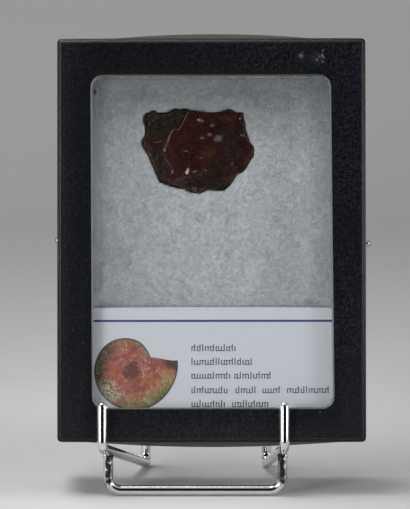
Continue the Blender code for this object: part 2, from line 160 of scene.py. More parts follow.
# Chips that face left and a little up, in the form of the zones, then their share of the full tilt
CHIPS = (
    (-2.5, -6.3, 1.25, 0.62, 50, 1.0), (12.3, 3.3, 0.55, 0.55, 0, 1.0), (-8.6, -0.7, 0.36, 0.36, 0, 0.8),
    (11.5, 7.8, 0.45, 0.50, 0, 0.9), (9.4, -4.2, 0.42, 0.40, 0, 1.0), (2.3, -6.0, 0.42, 0.42, 0, 0.9),
    (0.4, 7.5, 0.45, 0.32, -12, 0.8), (1.4, 7.1, 0.36, 0.30, 0, 0.7), (4.2, 6.0, 0.50, 0.35, 0, 0.5),
    (5.9, 2.5, 0.60, 0.50, 20, 0.6), (3.3, 3.6, 0.40, 0.34, 0, 0.5), (11.2, -3.1, 0.35, 0.30, 0, 0.7),
    (-12.9, 6.4, 0.60, 0.40, 20, 0.6),
)
# Whitened bruises and painted highlights where chips and worn spots catch the light, in the form of the zones
BRUISES_AND_GLINTS = (
    (5.7, 2.5, 2.0, 1.5, 25), (3.4, 3.5, 1.0, 0.8, 0), (0.9, 7.3, 1.6, 0.7, -12),
    (4.1, 6.0, 1.1, 0.7, 0), (1.4, 2.6, 1.0, 0.6, 0), (-0.6, -6.4, 1.2, 0.5, 20),
    (-3.0, -0.9, 1.4, 0.25, -14), (1.0, -2.8, 1.0, 0.25, 10), (12.3, 3.3, 0.48, 0.48, 0),
    (-8.6, -0.7, 0.45, 0.45, 0), (11.5, 7.8, 0.42, 0.45, 0), (9.4, -4.2, 0.42, 0.42, 0),
    (2.3, -6.0, 0.42, 0.42, 0), (9.0, -4.8, 0.30, 0.30, 0), (-12.9, 6.4, 0.50, 0.36, 0),
    (10.6, -5.3, 0.26, 0.26, 0),
)
# Thin pale lines where one layer of shell stands proud of the next, partly its pale broken edge and partly a
# painted highlight on the step: points in millimetres, then strength
LAYER_LINES = (
    (((-2.3, 9.5), (-3.3, 7.7), (-4.1, 5.9), (-4.9, 4.8), (-6.0, 5.0), (-6.8, 4.4), (-7.5, 2.8), (-7.9, 1.2),
      (-8.7, -0.4)), 0.8),
    (((-8.9, -2.6), (-7.9, -3.6), (-6.8, -5.2), (-6.2, -6.7), (-7.1, -7.1)), 0.55),
    (((-9.7, -4.4), (-8.9, -5.5), (-8.5, -7.0)), 0.45),
    (((-12.0, 1.6), (-10.6, 1.5), (-9.5, 1.9)), 0.8),
    (((-13.5, 6.3), (-12.2, 6.8), (-11.2, 7.8), (-10.0, 8.6), (-8.2, 8.8)), 0.55),
    (((-7.2, -8.5), (-5.2, -8.3), (-3.4, -7.2), (-1.9, -5.6)), 0.45),
    (((0.9, -7.0), (2.0, -5.2), (2.7, -3.3), (4.5, -1.7), (5.2, 0.6)), 0.40),
    (((5.3, -9.6), (6.5, -8.7)), 0.4), (((-11.6, 4.4), (-9.6, 4.7), (-8.2, 4.2)), 0.25),
    (((-6.9, 3.3), (-7.3, 1.4), (-6.6, 0.2)), 0.25),
)

# Easel: the point its own measures count from, and its round wire
EASEL_ORIGIN = Vector((-0.0051, -0.022057, -0.000052))
WIRE_RADIUS = 0.00136
# Radius of the solid wire, which the easel's own places are reckoned with
SOLID_RADIUS = 0.0014
WIRE_AXIS_HEIGHT = 0.001412
HOOK_LENGTH = 0.0123
HOOK_SPREAD = 0.0243
HOOK_BEND_HEIGHT = 0.01305
HOOK_BEND_RADIUS = 0.0021
REAR_FOOT_Y = 0.0292
REAR_FOOT_FLAT = 0.0022
REAR_FOOT_SPREAD = 0.0166
REAR_FOOT_RADIUS = 0.0026
REST_HEIGHT = 0.0574
REST_RADIUS = 0.008
REAR_SHIFT = 0.00295
LEG_SPREAD = 0.0232
LEG_SHIFT = 0.0005
LEG_CORNER_RADIUS = 0.0034
LEG_TOP = 0.0118
WELD_SWELL = 1.12
WIRE_SIDES = 28
TURN_STEP = math.radians(5)
# Weld under each hook: its height, and its beads as steps across, ahead and up, radius and stretch
WELD_HEIGHT = 0.0112
WELD_BEADS = (
    (0.0007, -0.0009, 0.0001, 0.00062, (1.0, 0.9, 0.75)),
    (-0.0004, -0.0007, 0.0002, 0.00055, (1.1, 0.9, 0.7)),
    (0.0004, 0.0008, 0.0001, 0.00070, (1.1, 0.9, 0.7)),
)

MM = 0.001

# Table: its paleness at distances in metres from a point under the easel's front, a painted pool of light:
# palest close to the mount, where it lifts its shadow, falling off outward and rising again far away
FLOOR_MIDDLE = (0.0, -0.022, 0.0)
FLOOR_STOPS = (
    (0.015, 1.0), (0.04, 0.86), (0.06, 0.79), (0.08, 0.745), (0.10, 0.695), (0.14, 0.59),
    (0.20, 0.49), (0.30, 0.378), (0.355, 0.349), (0.54, 0.4125), (0.98, 0.569),
)

# Camera: height of the point it turns round on the face, pixels to a metre there, height of the
# picture in pixels, how far left of and below that point the picture's middle lies, and its roll
FACE_MIDDLE = 0.054
PIXELS_PER_METRE = 3744.0
PICTURE_TALL = 509.0
AIM_LEFT = 0.001715
AIM_DOWN = 0.003918
CAMERA_ROLL = math.radians(0.27)


# Sizes and colours to change


class MountLooks(PropertyGroup):
    card_colour: FloatVectorProperty(
        name="Card colour", description="Colour of the black paper over the lid",
        subtype="COLOR", size=3, min=0.0, max=1.0, default=(0.0062, 0.0068, 0.0096))
    board_colour: FloatVectorProperty(
        name="Board colour", description="Colour of the bare board where the window is punched",
        subtype="COLOR", size=3, min=0.0, max=1.0, default=(0.190, 0.200, 0.190))
    tray_colour: FloatVectorProperty(
        name="Tray colour", description="Colour of the paper on the tray",
        subtype="COLOR", size=3, min=0.0, max=1.0, default=(0.014, 0.0135, 0.0135))
    punched_edge: FloatProperty(
        name="Punched edge", description="How far the bare board shows round the window",
        subtype="DISTANCE", unit="LENGTH", min=0.0, default=0.00040)
    grain: FloatProperty(
        name="Paper grain", description="Depth of the paper's embossed grain",
        subtype="DISTANCE", unit="LENGTH", min=0.0, default=0.00006)


class BattingLooks(PropertyGroup):
    colour: FloatVectorProperty(
        name="Fibre colour", description="Colour of the fibre filling",
        subtype="COLOR", size=3, min=0.0, max=1.0, default=(0.652, 0.682, 0.700))
    strands: IntProperty(
        name="Strands", description="How many loose strands lie on the filling", min=0, default=5100)
    strand_length: FloatProperty(
        name="Strand length", description="Length of one loose strand",
        subtype="DISTANCE", unit="LENGTH", min=0.0, default=0.0045)
    strand_radius: FloatProperty(
        name="Strand radius", description="Radius of one loose strand",
        subtype="DISTANCE", unit="LENGTH", min=0.0, default=0.000016)
    lump: FloatProperty(
        name="Lumps", description="Height of the filling's soft lumps",
        subtype="DISTANCE", unit="LENGTH", min=0.0, default=0.00026)


class StoneLooks(PropertyGroup):
    shell_colour: FloatVectorProperty(
        name="Shell colour", description="Colour of the fossil shell layer",
        subtype="COLOR", size=3, min=0.0, max=1.0, default=(0.028, 0.0054, 0.0038))
    amber_colour: FloatVectorProperty(
        name="Amber colour", description="Colour of the thin shell that lets light through",
        subtype="COLOR", size=3, min=0.0, max=1.0, default=(0.048, 0.0150, 0.0045))
    matrix_colour: FloatVectorProperty(
        name="Matrix colour", description="Colour of the shale that the shell lies on",
        subtype="COLOR", size=3, min=0.0, max=1.0, default=(0.0170, 0.0155, 0.0112))
    violet_colour: FloatVectorProperty(
        name="Violet colour", description="Colour of the dull violet shell",
        subtype="COLOR", size=3, min=0.0, max=1.0, default=(0.0215, 0.0105, 0.0098))
    olive_colour: FloatVectorProperty(
        name="Olive colour", description="Colour of the thin film of shale on the shell",
        subtype="COLOR", size=3, min=0.0, max=1.0, default=(0.0175, 0.0120, 0.0058))
    roughness: FloatProperty(
        name="Relief", description="Height of the broken relief on the stone",
        subtype="DISTANCE", unit="LENGTH", min=0.0, default=0.00022)


class LabelLooks(PropertyGroup):
    paper_colour: FloatVectorProperty(
        name="Paper colour", description="Colour of the printed card",
        subtype="COLOR", size=3, min=0.0, max=1.0, default=(0.735, 0.75, 0.81))
    rule_colour: FloatVectorProperty(
        name="Rule colour", description="Colour of the printed line across the card",
        subtype="COLOR", size=3, min=0.0, max=1.0, default=(0.044, 0.074, 0.205))
    rule_height: FloatProperty(
        name="Rule height", description="Height of the printed line up the face",
        subtype="DISTANCE", unit="LENGTH", min=0.0, default=0.03236)
    text_colour: FloatVectorProperty(
        name="Line colour", description="Colour of the rows of plain strokes",
        subtype="COLOR", size=3, min=0.0, max=1.0, default=(0.060, 0.062, 0.082))
    picture_reach: FloatProperty(
        name="Picture reach", description="Widest radius of the printed spiral",
        subtype="DISTANCE", unit="LENGTH", min=0.001, default=0.0127)


class EaselLooks(PropertyGroup):
    chrome_colour: FloatVectorProperty(
        name="Chrome colour", description="Colour of the plated wire",
        subtype="COLOR", size=3, min=0.0, max=1.0, default=(0.74, 0.75, 0.76))
    pin_colour: FloatVectorProperty(
        name="Pin colour", description="Colour of the steel pins",
        subtype="COLOR", size=3, min=0.0, max=1.0, default=(0.55, 0.53, 0.50))
    weld_lump: FloatProperty(
        name="Weld lump", description="Height of the lumps round the welds",
        subtype="DISTANCE", unit="LENGTH", min=0.0, default=0.00010)


class StageLooks(PropertyGroup):
    floor_colour: FloatVectorProperty(
        name="Floor colour", description="Colour of the table close to the mount",
        subtype="COLOR", size=3, min=0.0, max=1.0, default=(0.75, 0.75, 0.75))
    distance: FloatProperty(
        name="Camera distance", description="Distance from the camera to the face of the mount",
        subtype="DISTANCE", unit="LENGTH", min=0.1, default=0.9)
    elevation: FloatProperty(
        name="Camera height", description="Angle of the camera above the table",
        subtype="ANGLE", unit="ROTATION", default=math.radians(12.0))
    azimuth: FloatProperty(
        name="Camera turn", description="Angle of the camera to the right of straight ahead",
        subtype="ANGLE", unit="ROTATION", default=math.radians(0.8))


# Node trees


def feed(tree, socket, value):
    """Links the value to the socket if it is a socket too, and otherwise sets it there."""
    if isinstance(value, bpy.types.NodeSocket):
        tree.links.new(value, socket)
    else:
        socket.default_value = value


def put(tree, kind, feeds=None, **settings):
    """A new node. feeds gives its inputs, by name or number, as values or as sockets to link."""
    made = tree.nodes.new(kind)
    for name, value in settings.items():
        setattr(made, name, value)
    for key, value in (feeds or {}).items():
        feed(tree, made.inputs[key], value)
    return made


def maths(tree, operation, first, second=0.0, third=0.0):
    feeds = {0: first, 1: second, 2: third}
    return put(tree, "ShaderNodeMath", feeds, operation=operation).outputs[0]


def times(tree, first, second):
    return maths(tree, "MULTIPLY", first, second)


def plus(tree, first, second):
    return maths(tree, "ADD", first, second)


def minus(tree, first, second):
    return maths(tree, "SUBTRACT", first, second)


def absolute(tree, value):
    return maths(tree, "ABSOLUTE", value)


def vectors(tree, operation, first, second=(0.0, 0.0, 0.0)):
    made = put(tree, "ShaderNodeVectorMath", {0: first, 1: second}, operation=operation)
    return made.outputs["Value" if operation in ("LENGTH", "DISTANCE") else "Vector"]


def scaled(tree, vector, share):
    feeds = {0: vector, "Scale": share}
    return put(tree, "ShaderNodeVectorMath", feeds, operation="SCALE").outputs[0]


def ease(tree, value, low, high, start=0.0, end=1.0):
    """start below low, end above high, and a soft step between."""
    feeds = {"Value": value, "From Min": low, "From Max": high, "To Min": start, "To Max": end}
    return put(tree, "ShaderNodeMapRange", feeds, interpolation_type="SMOOTHSTEP").outputs[0]


def tint(tree, share, under, over, mode="MIX"):
    feeds = {0: share, 6: solid(under), 7: solid(over)}
    return put(tree, "ShaderNodeMix", feeds, data_type="RGBA", blend_type=mode).outputs[2]


def solid(colour):
    """A colour with its fourth number, or the socket it was."""
    return colour if isinstance(colour, bpy.types.NodeSocket) else (*tuple(colour)[:3], 1.0)


def grey(level):
    return (level, level, level)


def cloudy(tree, place, scale, detail=3.0, roughness=0.55, distortion=0.0):
    feeds = {"Vector": place, "Scale": scale, "Detail": detail, "Roughness": roughness,
             "Distortion": distortion}
    return put(tree, "ShaderNodeTexNoise", feeds).outputs[0]


def cells(tree, place, scale, feature="F1", output="Distance"):
    feeds = {"Vector": place, "Scale": scale}
    return put(tree, "ShaderNodeTexVoronoi", feeds, feature=feature).outputs[output]


def cracked(tree, place, wander, detail, scale):
    """Distance from the nearest of a net of cracks, which noise bends."""
    feeds = {"Vector": place, "Scale": wander, "Detail": detail}
    bend = put(tree, "ShaderNodeTexNoise", feeds).outputs["Color"]
    return cells(tree, vectors(tree, "ADD", place, bend), scale, "DISTANCE_TO_EDGE")


def apart(tree, vector):
    return put(tree, "ShaderNodeSeparateXYZ", {0: vector}).outputs[:]


def joined_up(tree, across, up):
    return put(tree, "ShaderNodeCombineXYZ", {0: across, 1: up}).outputs[0]


def object_place(tree):
    return put(tree, "ShaderNodeTexCoord").outputs["Object"]


def read_mask(tree, name):
    return put(tree, "ShaderNodeAttribute", attribute_name=name).outputs["Fac"]


def new_group(name, inputs, outputs):
    """An empty shader node group: its tree, its input sockets and its output node."""
    tree = bpy.data.node_groups.new(name, "ShaderNodeTree")
    for label, kind, value in inputs:
        socket = tree.interface.new_socket(label, in_out="INPUT", socket_type=kind)
        socket.default_value = value
    for label, kind in outputs:
        tree.interface.new_socket(label, in_out="OUTPUT", socket_type=kind)
    return tree, tree.nodes.new("NodeGroupInput").outputs, tree.nodes.new("NodeGroupOutput")


def use_group(tree, name, feeds=None):
    return put(tree, "ShaderNodeGroup", feeds, node_tree=bpy.data.node_groups[name]).outputs


def new_material(name):
    """A material with one Principled shader: the material, its tree and the shader."""
    material = bpy.data.materials.new(name)
    material.use_nodes = True
    tree = material.node_tree
    return material, tree, tree.nodes["Principled BSDF"]


def new_mount_material(name):
    """A new material, and with it the place on the mount that its effects read."""
    material, tree, shader = new_material(name)
    return material, tree, shader, use_group(tree, "Mount place")["Place"]


def set_shader(tree, shader, **feeds):
    for key, value in feeds.items():
        socket = shader.inputs[key.replace("_", " ")]
        feed(tree, socket, solid(value) if "Color" in socket.name else value)


def bumped(tree, height, depth):
    """The normal of a surface with a height of 0 to 1, depth being metres."""
    return put(tree, "ShaderNodeBump", {"Height": height, "Distance": depth}).outputs[0]


def build_groups():
    """The effects that several materials share."""
    colour, number, vector = "NodeSocketColor", "NodeSocketFloat", "NodeSocketVector"

    # Place on the mount in millimetres: across, depth behind the face, height up the face
    tree, _, out = new_group("Mount place", (), (("Place", vector),))
    spot = object_place(tree)
    feeds = {"Vector": spot, "Location": MOUNT_ORIGIN, "Rotation": (-LEAN, 0, 0), "Scale": (MM,) * 3}
    place = put(tree, "ShaderNodeMapping", feeds, vector_type="TEXTURE").outputs[0]
    tree.links.new(place, out.inputs[0])

    # Distance from the window's edge in millimetres, less than 0 inside it
    tree, into, out = new_group("Window distance", (("Place", vector, (0, 0, 0)),), (("Distance", number),))
    across, _, up = apart(tree, into["Place"])
    share = maths(tree, "DIVIDE", minus(tree, up, WINDOW_LOW / MM), WINDOW_TALL / MM)
    middles = [(a + b) / 2 / MM for a, b in zip(WINDOW_LEFT, WINDOW_RIGHT)]
    halves = [(b - a) / 2 / MM for a, b in zip(WINDOW_LEFT, WINDOW_RIGHT)]
    middle = maths(tree, "MULTIPLY_ADD", share, middles[1] - middles[0], middles[0])
    half = maths(tree, "MULTIPLY_ADD", share, halves[1] - halves[0], halves[0] - WINDOW_RADIUS / MM)
    side = minus(tree, absolute(tree, minus(tree, across, middle)), half)
    mid_up = (WINDOW_LOW + WINDOW_TALL / 2) / MM
    tall = absolute(tree, minus(tree, up, mid_up))
    tall = minus(tree, tall, (WINDOW_TALL / 2 - WINDOW_RADIUS) / MM)
    corner = joined_up(tree, maths(tree, "MAXIMUM", side, 0.0), maths(tree, "MAXIMUM", tall, 0.0))
    inner = maths(tree, "MINIMUM", maths(tree, "MAXIMUM", side, tall), 0.0)
    away = plus(tree, vectors(tree, "LENGTH", corner), inner)
    tree.links.new(minus(tree, away, WINDOW_RADIUS / MM), out.inputs[0])

    # Wear and painted highlight along the box's edges: 1 on the crest of an edge, broken up by noise
    tree, into, out = new_group("Edge wear and highlight", (
        ("Place", vector, (0, 0, 0)), ("Width", number, 0.9), ("Breaks", number, 0.5)), (("Wear and highlight", number),))
    across, deep, up = apart(tree, into["Place"])
    side = minus(tree, BOX_WIDTH / 2 / MM, absolute(tree, across))
    tall = minus(tree, up, BOX_HEIGHT / 2 / MM)
    tall = minus(tree, BOX_HEIGHT / 2 / MM, absolute(tree, tall))
    deep = maths(tree, "MAXIMUM", deep, 0.0)
    edges = ((deep, side), (deep, tall), (side, tall))
    pairs = [plus(tree, absolute(tree, a), absolute(tree, b)) for a, b in edges]
    near = maths(tree, "MINIMUM", maths(tree, "MINIMUM", pairs[0], pairs[1]), pairs[2])
    rough = cloudy(tree, into["Place"], 0.55, 5.0, 0.7)
    rough = times(tree, minus(tree, rough, 0.5), into["Breaks"])
    line = plus(tree, near, times(tree, rough, 2.0))
    tree.links.new(ease(tree, line, 0.55, into["Width"], 1.0, 0.0), out.inputs[0])

    # Embossed paper: a mottle of 0 to 1 and the height of its grain
    tree, into, out = new_group("Paper grain", (
        ("Place", vector, (0, 0, 0)), ("Scale", number, 1.0)), (("Mottle", number), ("Height", number)))
    place = scaled(tree, into["Place"], into["Scale"])
    fine = cells(tree, place, 2.6, "SMOOTH_F1")
    blotches = times(tree, cloudy(tree, place, 0.85, 5.0, 0.78), 0.65)
    mottle = plus(tree, blotches, times(tree, fine, 0.4))
    pits = times(tree, fine, 0.6)
    height = plus(tree, pits, times(tree, cloudy(tree, place, 4.0, 2.0), 0.5))
    tree.links.new(mottle, out.inputs["Mottle"])
    tree.links.new(height, out.inputs["Height"])

    # Dust: small pale specks, more of them where Amount is high
    tree, into, out = new_group("Dust", (
        ("Place", vector, (0, 0, 0)), ("Scale", number, 0.4), ("Amount", number, 0.1)), (("Specks", number),))
    place = scaled(tree, into["Place"], into["Scale"])
    bodies = cells(tree, place, 1.0)
    kept = apart(tree, cells(tree, place, 1.0, output="Color"))[0]
    small = ease(tree, bodies, 0.05, 0.11, 1.0, 0.0)
    lucky = maths(tree, "LESS_THAN", kept, into["Amount"])
    tree.links.new(times(tree, small, lucky), out.inputs[0])

    # Two colours mixed by a mask that noise breaks up
    tree, into, out = new_group("Broken mix", (
        ("Place", vector, (0, 0, 0)), ("Scale", number, 1.0), ("Mask", number, 0.5),
        ("Under", colour, (0, 0, 0, 1)), ("Over", colour, (1, 1, 1, 1))), (("Color", colour),))
    rough = cloudy(tree, into["Place"], into["Scale"], 5.0, 0.65)
    mask = plus(tree, into["Mask"], maths(tree, "MULTIPLY_ADD", rough, 1.6, -0.8))
    mixed = tint(tree, ease(tree, mask, 0.2, 0.8), into["Under"], into["Over"])
    tree.links.new(mixed, out.inputs[0])


# Meshes


def add_object(name, data):
    made = bpy.data.objects.new(name, data)
    bpy.context.scene.collection.objects.link(made)
    return made


def as_piece(name, mesh, materials, replaced):
    """A finished piece: linked, riding on the body, and standing for its CAD nodes."""
    piece = add_object(name, mesh)
    for material in materials:
        if material.name not in mesh.materials:
            mesh.materials.append(material)
    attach(piece, "root")
    if replaced:
        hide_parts(*replaced)
    return piece


def mesh_from(bm, name, smooth_angle=None):
    mesh = bpy.data.meshes.new(name)
    bm.to_mesh(mesh)
    bm.free()
    if smooth_angle is not None:
        mesh.shade_smooth()
        mesh.set_sharp_from_angle(angle=smooth_angle)
    return mesh


def add_mask(mesh, name, values):
    """A number of 0 to 1 for each point of the mesh, which its material reads by name."""
    mask = mesh.attributes.new(name, "FLOAT", "POINT")
    mask.data.foreach_set("value", values)


def merged_copy(node):
    """A CAD node's faces as one connected mesh."""
    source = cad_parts[node].data
    bm = bmesh.new()
    verts = [bm.verts.new(vert.co) for vert in source.vertices]
    for face in source.polygons:
        bm.faces.new([verts[i] for i in face.vertices])
    bmesh.ops.remove_doubles(bm, verts=bm.verts, dist=0.000002)
    return bm


def evaluated_mesh(holder):
    """The mesh of an object with its modifiers or bevel made real. The object is removed."""
    bpy.context.view_layer.update()
    graph = bpy.context.evaluated_depsgraph_get()
    mesh = bpy.data.meshes.new_from_object(holder.evaluated_get(graph))
    bpy.data.objects.remove(holder)
    return mesh


def outline_radius(outline, angle):
    """Distance in metres from the middle to an outline of points, along a direction in radians."""
    across, along = math.cos(angle), math.sin(angle)
    near_x, near_z = outline[-1]
    before = across * near_z - along * near_x
    for far_x, far_z in outline:
        after = across * far_z - along * far_x
        if before <= 0.0 < after:
            return MM * (near_x * far_z - near_z * far_x) / (after - before)
        near_x, near_z, before = far_x, far_z, after
    return 0.0


def soft_step(value, low, high):
    share = min(max((value - low) / (high - low), 0.0), 1.0)
    return share * share * (3.0 - 2.0 * share)


def rippled(x, z, size, seed):
    """Smooth noise of about -1 to 1 whose waves are size metres long."""
    return noise.noise(Vector((x / size, seed, z / size)))


def closed_sheet(front, back, columns, rows):
    """A closed slab of two grids: front and back give a point for each column and row."""
    bm = bmesh.new()
    layers = []
    for shape in (front, back):
        layers.append([[bm.verts.new(shape(c, r)) for r in range(rows)] for c in range(columns)])
    near, far = layers
    for c in range(columns - 1):
        for r in range(rows - 1):
            bm.faces.new((near[c][r], near[c + 1][r], near[c + 1][r + 1], near[c][r + 1]))
            bm.faces.new((far[c][r], far[c][r + 1], far[c + 1][r + 1], far[c + 1][r]))
    for c in range(columns - 1):
        bm.faces.new((near[c][0], far[c][0], far[c + 1][0], near[c + 1][0]))
        bm.faces.new((near[c + 1][-1], far[c + 1][-1], far[c][-1], near[c][-1]))
    for r in range(rows - 1):
        bm.faces.new((near[0][r + 1], far[0][r + 1], far[0][r], near[0][r]))
        bm.faces.new((near[-1][r], far[-1][r], far[-1][r + 1], near[-1][r + 1]))
    bmesh.ops.recalc_face_normals(bm, faces=bm.faces)
    return bm


# Card mount


def specks(tree, place, spots):
    """A mask of small round marks on the face: (across, up, radius) in millimetres."""
    flat = vectors(tree, "MULTIPLY", place, (1.0, 0.0, 1.0))
    total = None
    for across, up, radius in spots:
        away = vectors(tree, "DISTANCE", flat, (across, 0.0, up))
        mark = ease(tree, away, radius * 0.35, radius, 1.0, 0.0)
        total = mark if total is None else maths(tree, "MAXIMUM", total, mark)
    return total


def card_material(looks):
    material, tree, shader, place = new_mount_material("black_card")
    grain = use_group(tree, "Paper grain", {"Place": place, "Scale": 1.0})
    dark = Vector(looks.card_colour)
    base = tint(tree, ease(tree, grain["Mottle"], 0.36, 0.70), dark * 0.1, dark * 3.6)
    broad = cloudy(tree, place, 0.045, 2.0)
    base = tint(tree, ease(tree, broad, 0.35, 0.65, 0.0, 0.5), base, dark * 0.8)

    # Painted highlight and wear along the face's edges and fold lines, painted shade in the crease and
    # towards the left, and browner walls outside the fold
    # The crests of the edges are paler: partly worn paper, partly painted highlight
    wear_and_highlight = use_group(tree, "Edge wear and highlight", {"Place": place, "Width": 0.9, "Breaks": 0.35})["Wear and highlight"]
    base = tint(tree, times(tree, wear_and_highlight, 0.35), base, (0.022, 0.018, 0.015))
    across, deep, up = apart(tree, place)
    side = minus(tree, BOX_WIDTH / 2 / MM, absolute(tree, across))
    tall = absolute(tree, minus(tree, up, BOX_HEIGHT / 2 / MM))
    tall = minus(tree, BOX_HEIGHT / 2 / MM, tall)
    inward = maths(tree, "MINIMUM", side, tall)
    wander = maths(tree, "MULTIPLY_ADD", cloudy(tree, place, 0.25, 3.0), 0.36, -0.18)
    inward = plus(tree, inward, wander)
    crest = absolute(tree, minus(tree, inward, 0.97))
    # Painted highlight along the fold line, broken up where the paper is rubbed, and fainter towards the
    # lower left and the right
    fold_highlight = ease(tree, crest, 0.08, 0.40, 1.0, 0.0)
    rubbed = ease(tree, cloudy(tree, place, 0.9, 4.0, 0.75), 0.30, 0.62, 0.45, 1.0)
    fold_highlight = times(tree, times(tree, fold_highlight, rubbed), ease(tree, deep, 0.25, 0.6, 1.0, 0.0))
    fold_highlight = times(tree, fold_highlight, ease(tree, plus(tree, across, up), -25.0, 75.0, 0.25, 1.0))
    fold_highlight = times(tree, fold_highlight, ease(tree, across, 0.0, 35.0, 1.0, 0.60))
    # Painted shade: the face darker towards its left side
    base = tint(tree, ease(tree, across, -38.0, 10.0, 0.35, 0.0), base, dark * 0.2)
    base = tint(tree, times(tree, fold_highlight, 0.8), base, (0.046, 0.048, 0.048))
    # The walls painted lighter and browner than the face: partly the paper's own tone, partly painted light
    walls_tone_and_light = ease(tree, deep, 0.5, 1.8, 0.0, 0.8)
    base = tint(tree, walls_tone_and_light, base, (0.016, 0.0135, 0.0080))
    # Painted shade: a dark line along the crease just outside the fold's highlight
    crease_shade = absolute(tree, minus(tree, inward, 0.50))
    crease_shade = ease(tree, crease_shade, 0.06, 0.24, 1.0, 0.0)
    base = tint(tree, times(tree, crease_shade, 0.8), base, dark * 0.3)
    ridge = minus(tree, ease(tree, crest, 0.0, 0.42, 1.0, 0.0), crease_shade)

    front = ease(tree, deep, 0.3, 0.5, 1.0, 0.0)
    away = use_group(tree, "Window distance", {"Place": place})["Distance"]
    # Painted shadow: a brown band just above the window's upper edge, short of its right end
    window_top_shadow = times(tree, ease(tree, away, 0.5, 1.8, 1.0, 0.0), ease(tree, up, 96.0, 98.5))
    window_top_shadow = times(tree, window_top_shadow, ease(tree, across, 27.0, 22.0, 0.0, 1.0))
    base = tint(tree, times(tree, window_top_shadow, 0.8), base, (0.0145, 0.0085, 0.0065))
    residue = specks(tree, place, (
        (29.85, 104.6, 0.42), (29.7, 103.3, 0.50), (30.1, 102.7, 0.45), (29.0, 103.0, 0.40),
        (28.2, 102.2, 0.45), (29.8, 101.6, 0.35), (24.0, 103.1, 0.80), (24.3, 104.2, 0.35)))
    haze = specks(tree, place, ((28.4, 102.8, 2.6), (24.2, 103.2, 1.4)))
    broken = ease(tree, cloudy(tree, place, 2.2, 4.0, 0.75), 0.40, 0.62)
    fine = ease(tree, cloudy(tree, place, 3.1, 2.0, 0.6), 0.50, 0.64)
    residue = plus(tree, times(tree, residue, broken), times(tree, haze, times(tree, fine, 0.30)))
    residue = times(tree, maths(tree, "MINIMUM", residue, 1.0), front)
    base = tint(tree, times(tree, residue, 0.8), base, (0.23, 0.24, 0.23))
    marks = specks(tree, place, (
        (-37.0, 29.8, 0.22), (-34.3, 26.3, 0.26), (36.2, 35.4, 0.22), (29.0, 8.1, 0.35),
        (-36.2, 61.0, 0.16), (37.4, 74.0, 0.16), (-12.0, 4.6, 0.18), (34.9, 46.0, 0.15)))
    base = tint(tree, times(tree, marks, 0.45), base, (0.15, 0.15, 0.15))
    dust = use_group(tree, "Dust", {"Place": place, "Scale": 0.55, "Amount": 0.05})["Specks"]
    base = tint(tree, times(tree, dust, 0.10), base, (0.12, 0.12, 0.12))

    # The paper's folded flaps show as a step on the short walls
    step = minus(tree, absolute(tree, across), 31.5)
    step = absolute(tree, plus(tree, step, times(tree, deep, 0.12)))
    ends = maths(tree, "MAXIMUM", ease(tree, up, 0.6, 0.1), ease(tree, up, 107.3, 107.9))
    flap = times(tree, ease(tree, step, 0.05, 0.30, 1.0, 0.0), ends)
    base = tint(tree, times(tree, flap, 0.5), base, dark * 0.35)

    rough = tint(tree, grain["Mottle"], grey(0.33), grey(0.26))
    rough = tint(tree, ease(tree, up, 0.3, 1.2, 1.0, 0.0), rough, grey(0.50))
    relief = minus(tree, grain["Height"], times(tree, flap, 1.5))
    relief = plus(tree, relief, ridge)
    set_shader(tree, shader, Base_Color=base, Roughness=rough, Specular_IOR_Level=0.28,
               Normal=bumped(tree, relief, looks.grain))
    return material


def board_material(looks):
    material, tree, shader, place = new_mount_material("bare_board")
    fibres = cloudy(tree, place, 2.2, 5.0, 0.75, 0.6)
    pale = Vector(looks.board_colour)
    base = tint(tree, ease(tree, fibres, 0.3, 0.7), pale * 0.6, pale * 1.15)
    across, _, up = apart(tree, place)
    # Painted light: the bare board lighter along the window's left side
    base = tint(tree, ease(tree, across, -20.0, 0.0, 0.5, 0.0), base, pale * 1.9)
    # Painted shade: the bare board darker along the window's top and bottom
    level = absolute(tree, minus(tree, up, (WINDOW_LOW + WINDOW_TALL / 2) / MM))
    level = ease(tree, level, WINDOW_TALL / 2 / MM - 1.2, WINDOW_TALL / 2 / MM - 0.2, 0.0, 0.6)
    base = tint(tree, level, base, pale * 0.25)
    set_shader(tree, shader, Base_Color=base, Roughness=0.85, Normal=bumped(tree, fibres, 0.00004))
    return material


def window_middle(height):
    """Across middle and half width of the window at a height up the face."""
    share = (height - WINDOW_LOW) / WINDOW_TALL
    left = WINDOW_LEFT[0] + share * (WINDOW_LEFT[1] - WINDOW_LEFT[0])
    right = WINDOW_RIGHT[0] + share * (WINDOW_RIGHT[1] - WINDOW_RIGHT[0])
    return (left + right) / 2, (right - left) / 2


def build_lid(looks):
    """The CAD lid, shaded smooth, with a punched, sloping cut round its window."""
    bm = merged_copy("lid")
    to_mount = MOUNT.inverted()
    middle_up = WINDOW_LOW + WINDOW_TALL / 2
    cut = []
    for vert in bm.verts:
        spot = to_mount @ vert.co
        middle, half = window_middle(spot.z)
        beside = abs(spot.x - middle) - half
        above = abs(spot.z - middle_up) - WINDOW_TALL / 2
        if max(beside, above) < WINDOW_NEAR and spot.y < CARD + 0.0001:
            cut.append(vert)
            if spot.y > CARD / 2:
                spot.x = middle + (spot.x - middle) * (1.0 - looks.punched_edge / half)
                spot.z = middle_up + (spot.z - middle_up) * (1.0 - looks.punched_edge * 2 / WINDOW_TALL)
                vert.co = MOUNT @ spot
    cut = set(cut)
    for face in bm.faces:
        face.smooth = True
        if all(vert in cut for vert in face.verts):
            face.material_index = 1
    mesh = mesh_from(bm, "lid_card", math.radians(32))
    as_piece("lid_card", mesh, [card_material(looks), board_material(looks)], ["lid"])


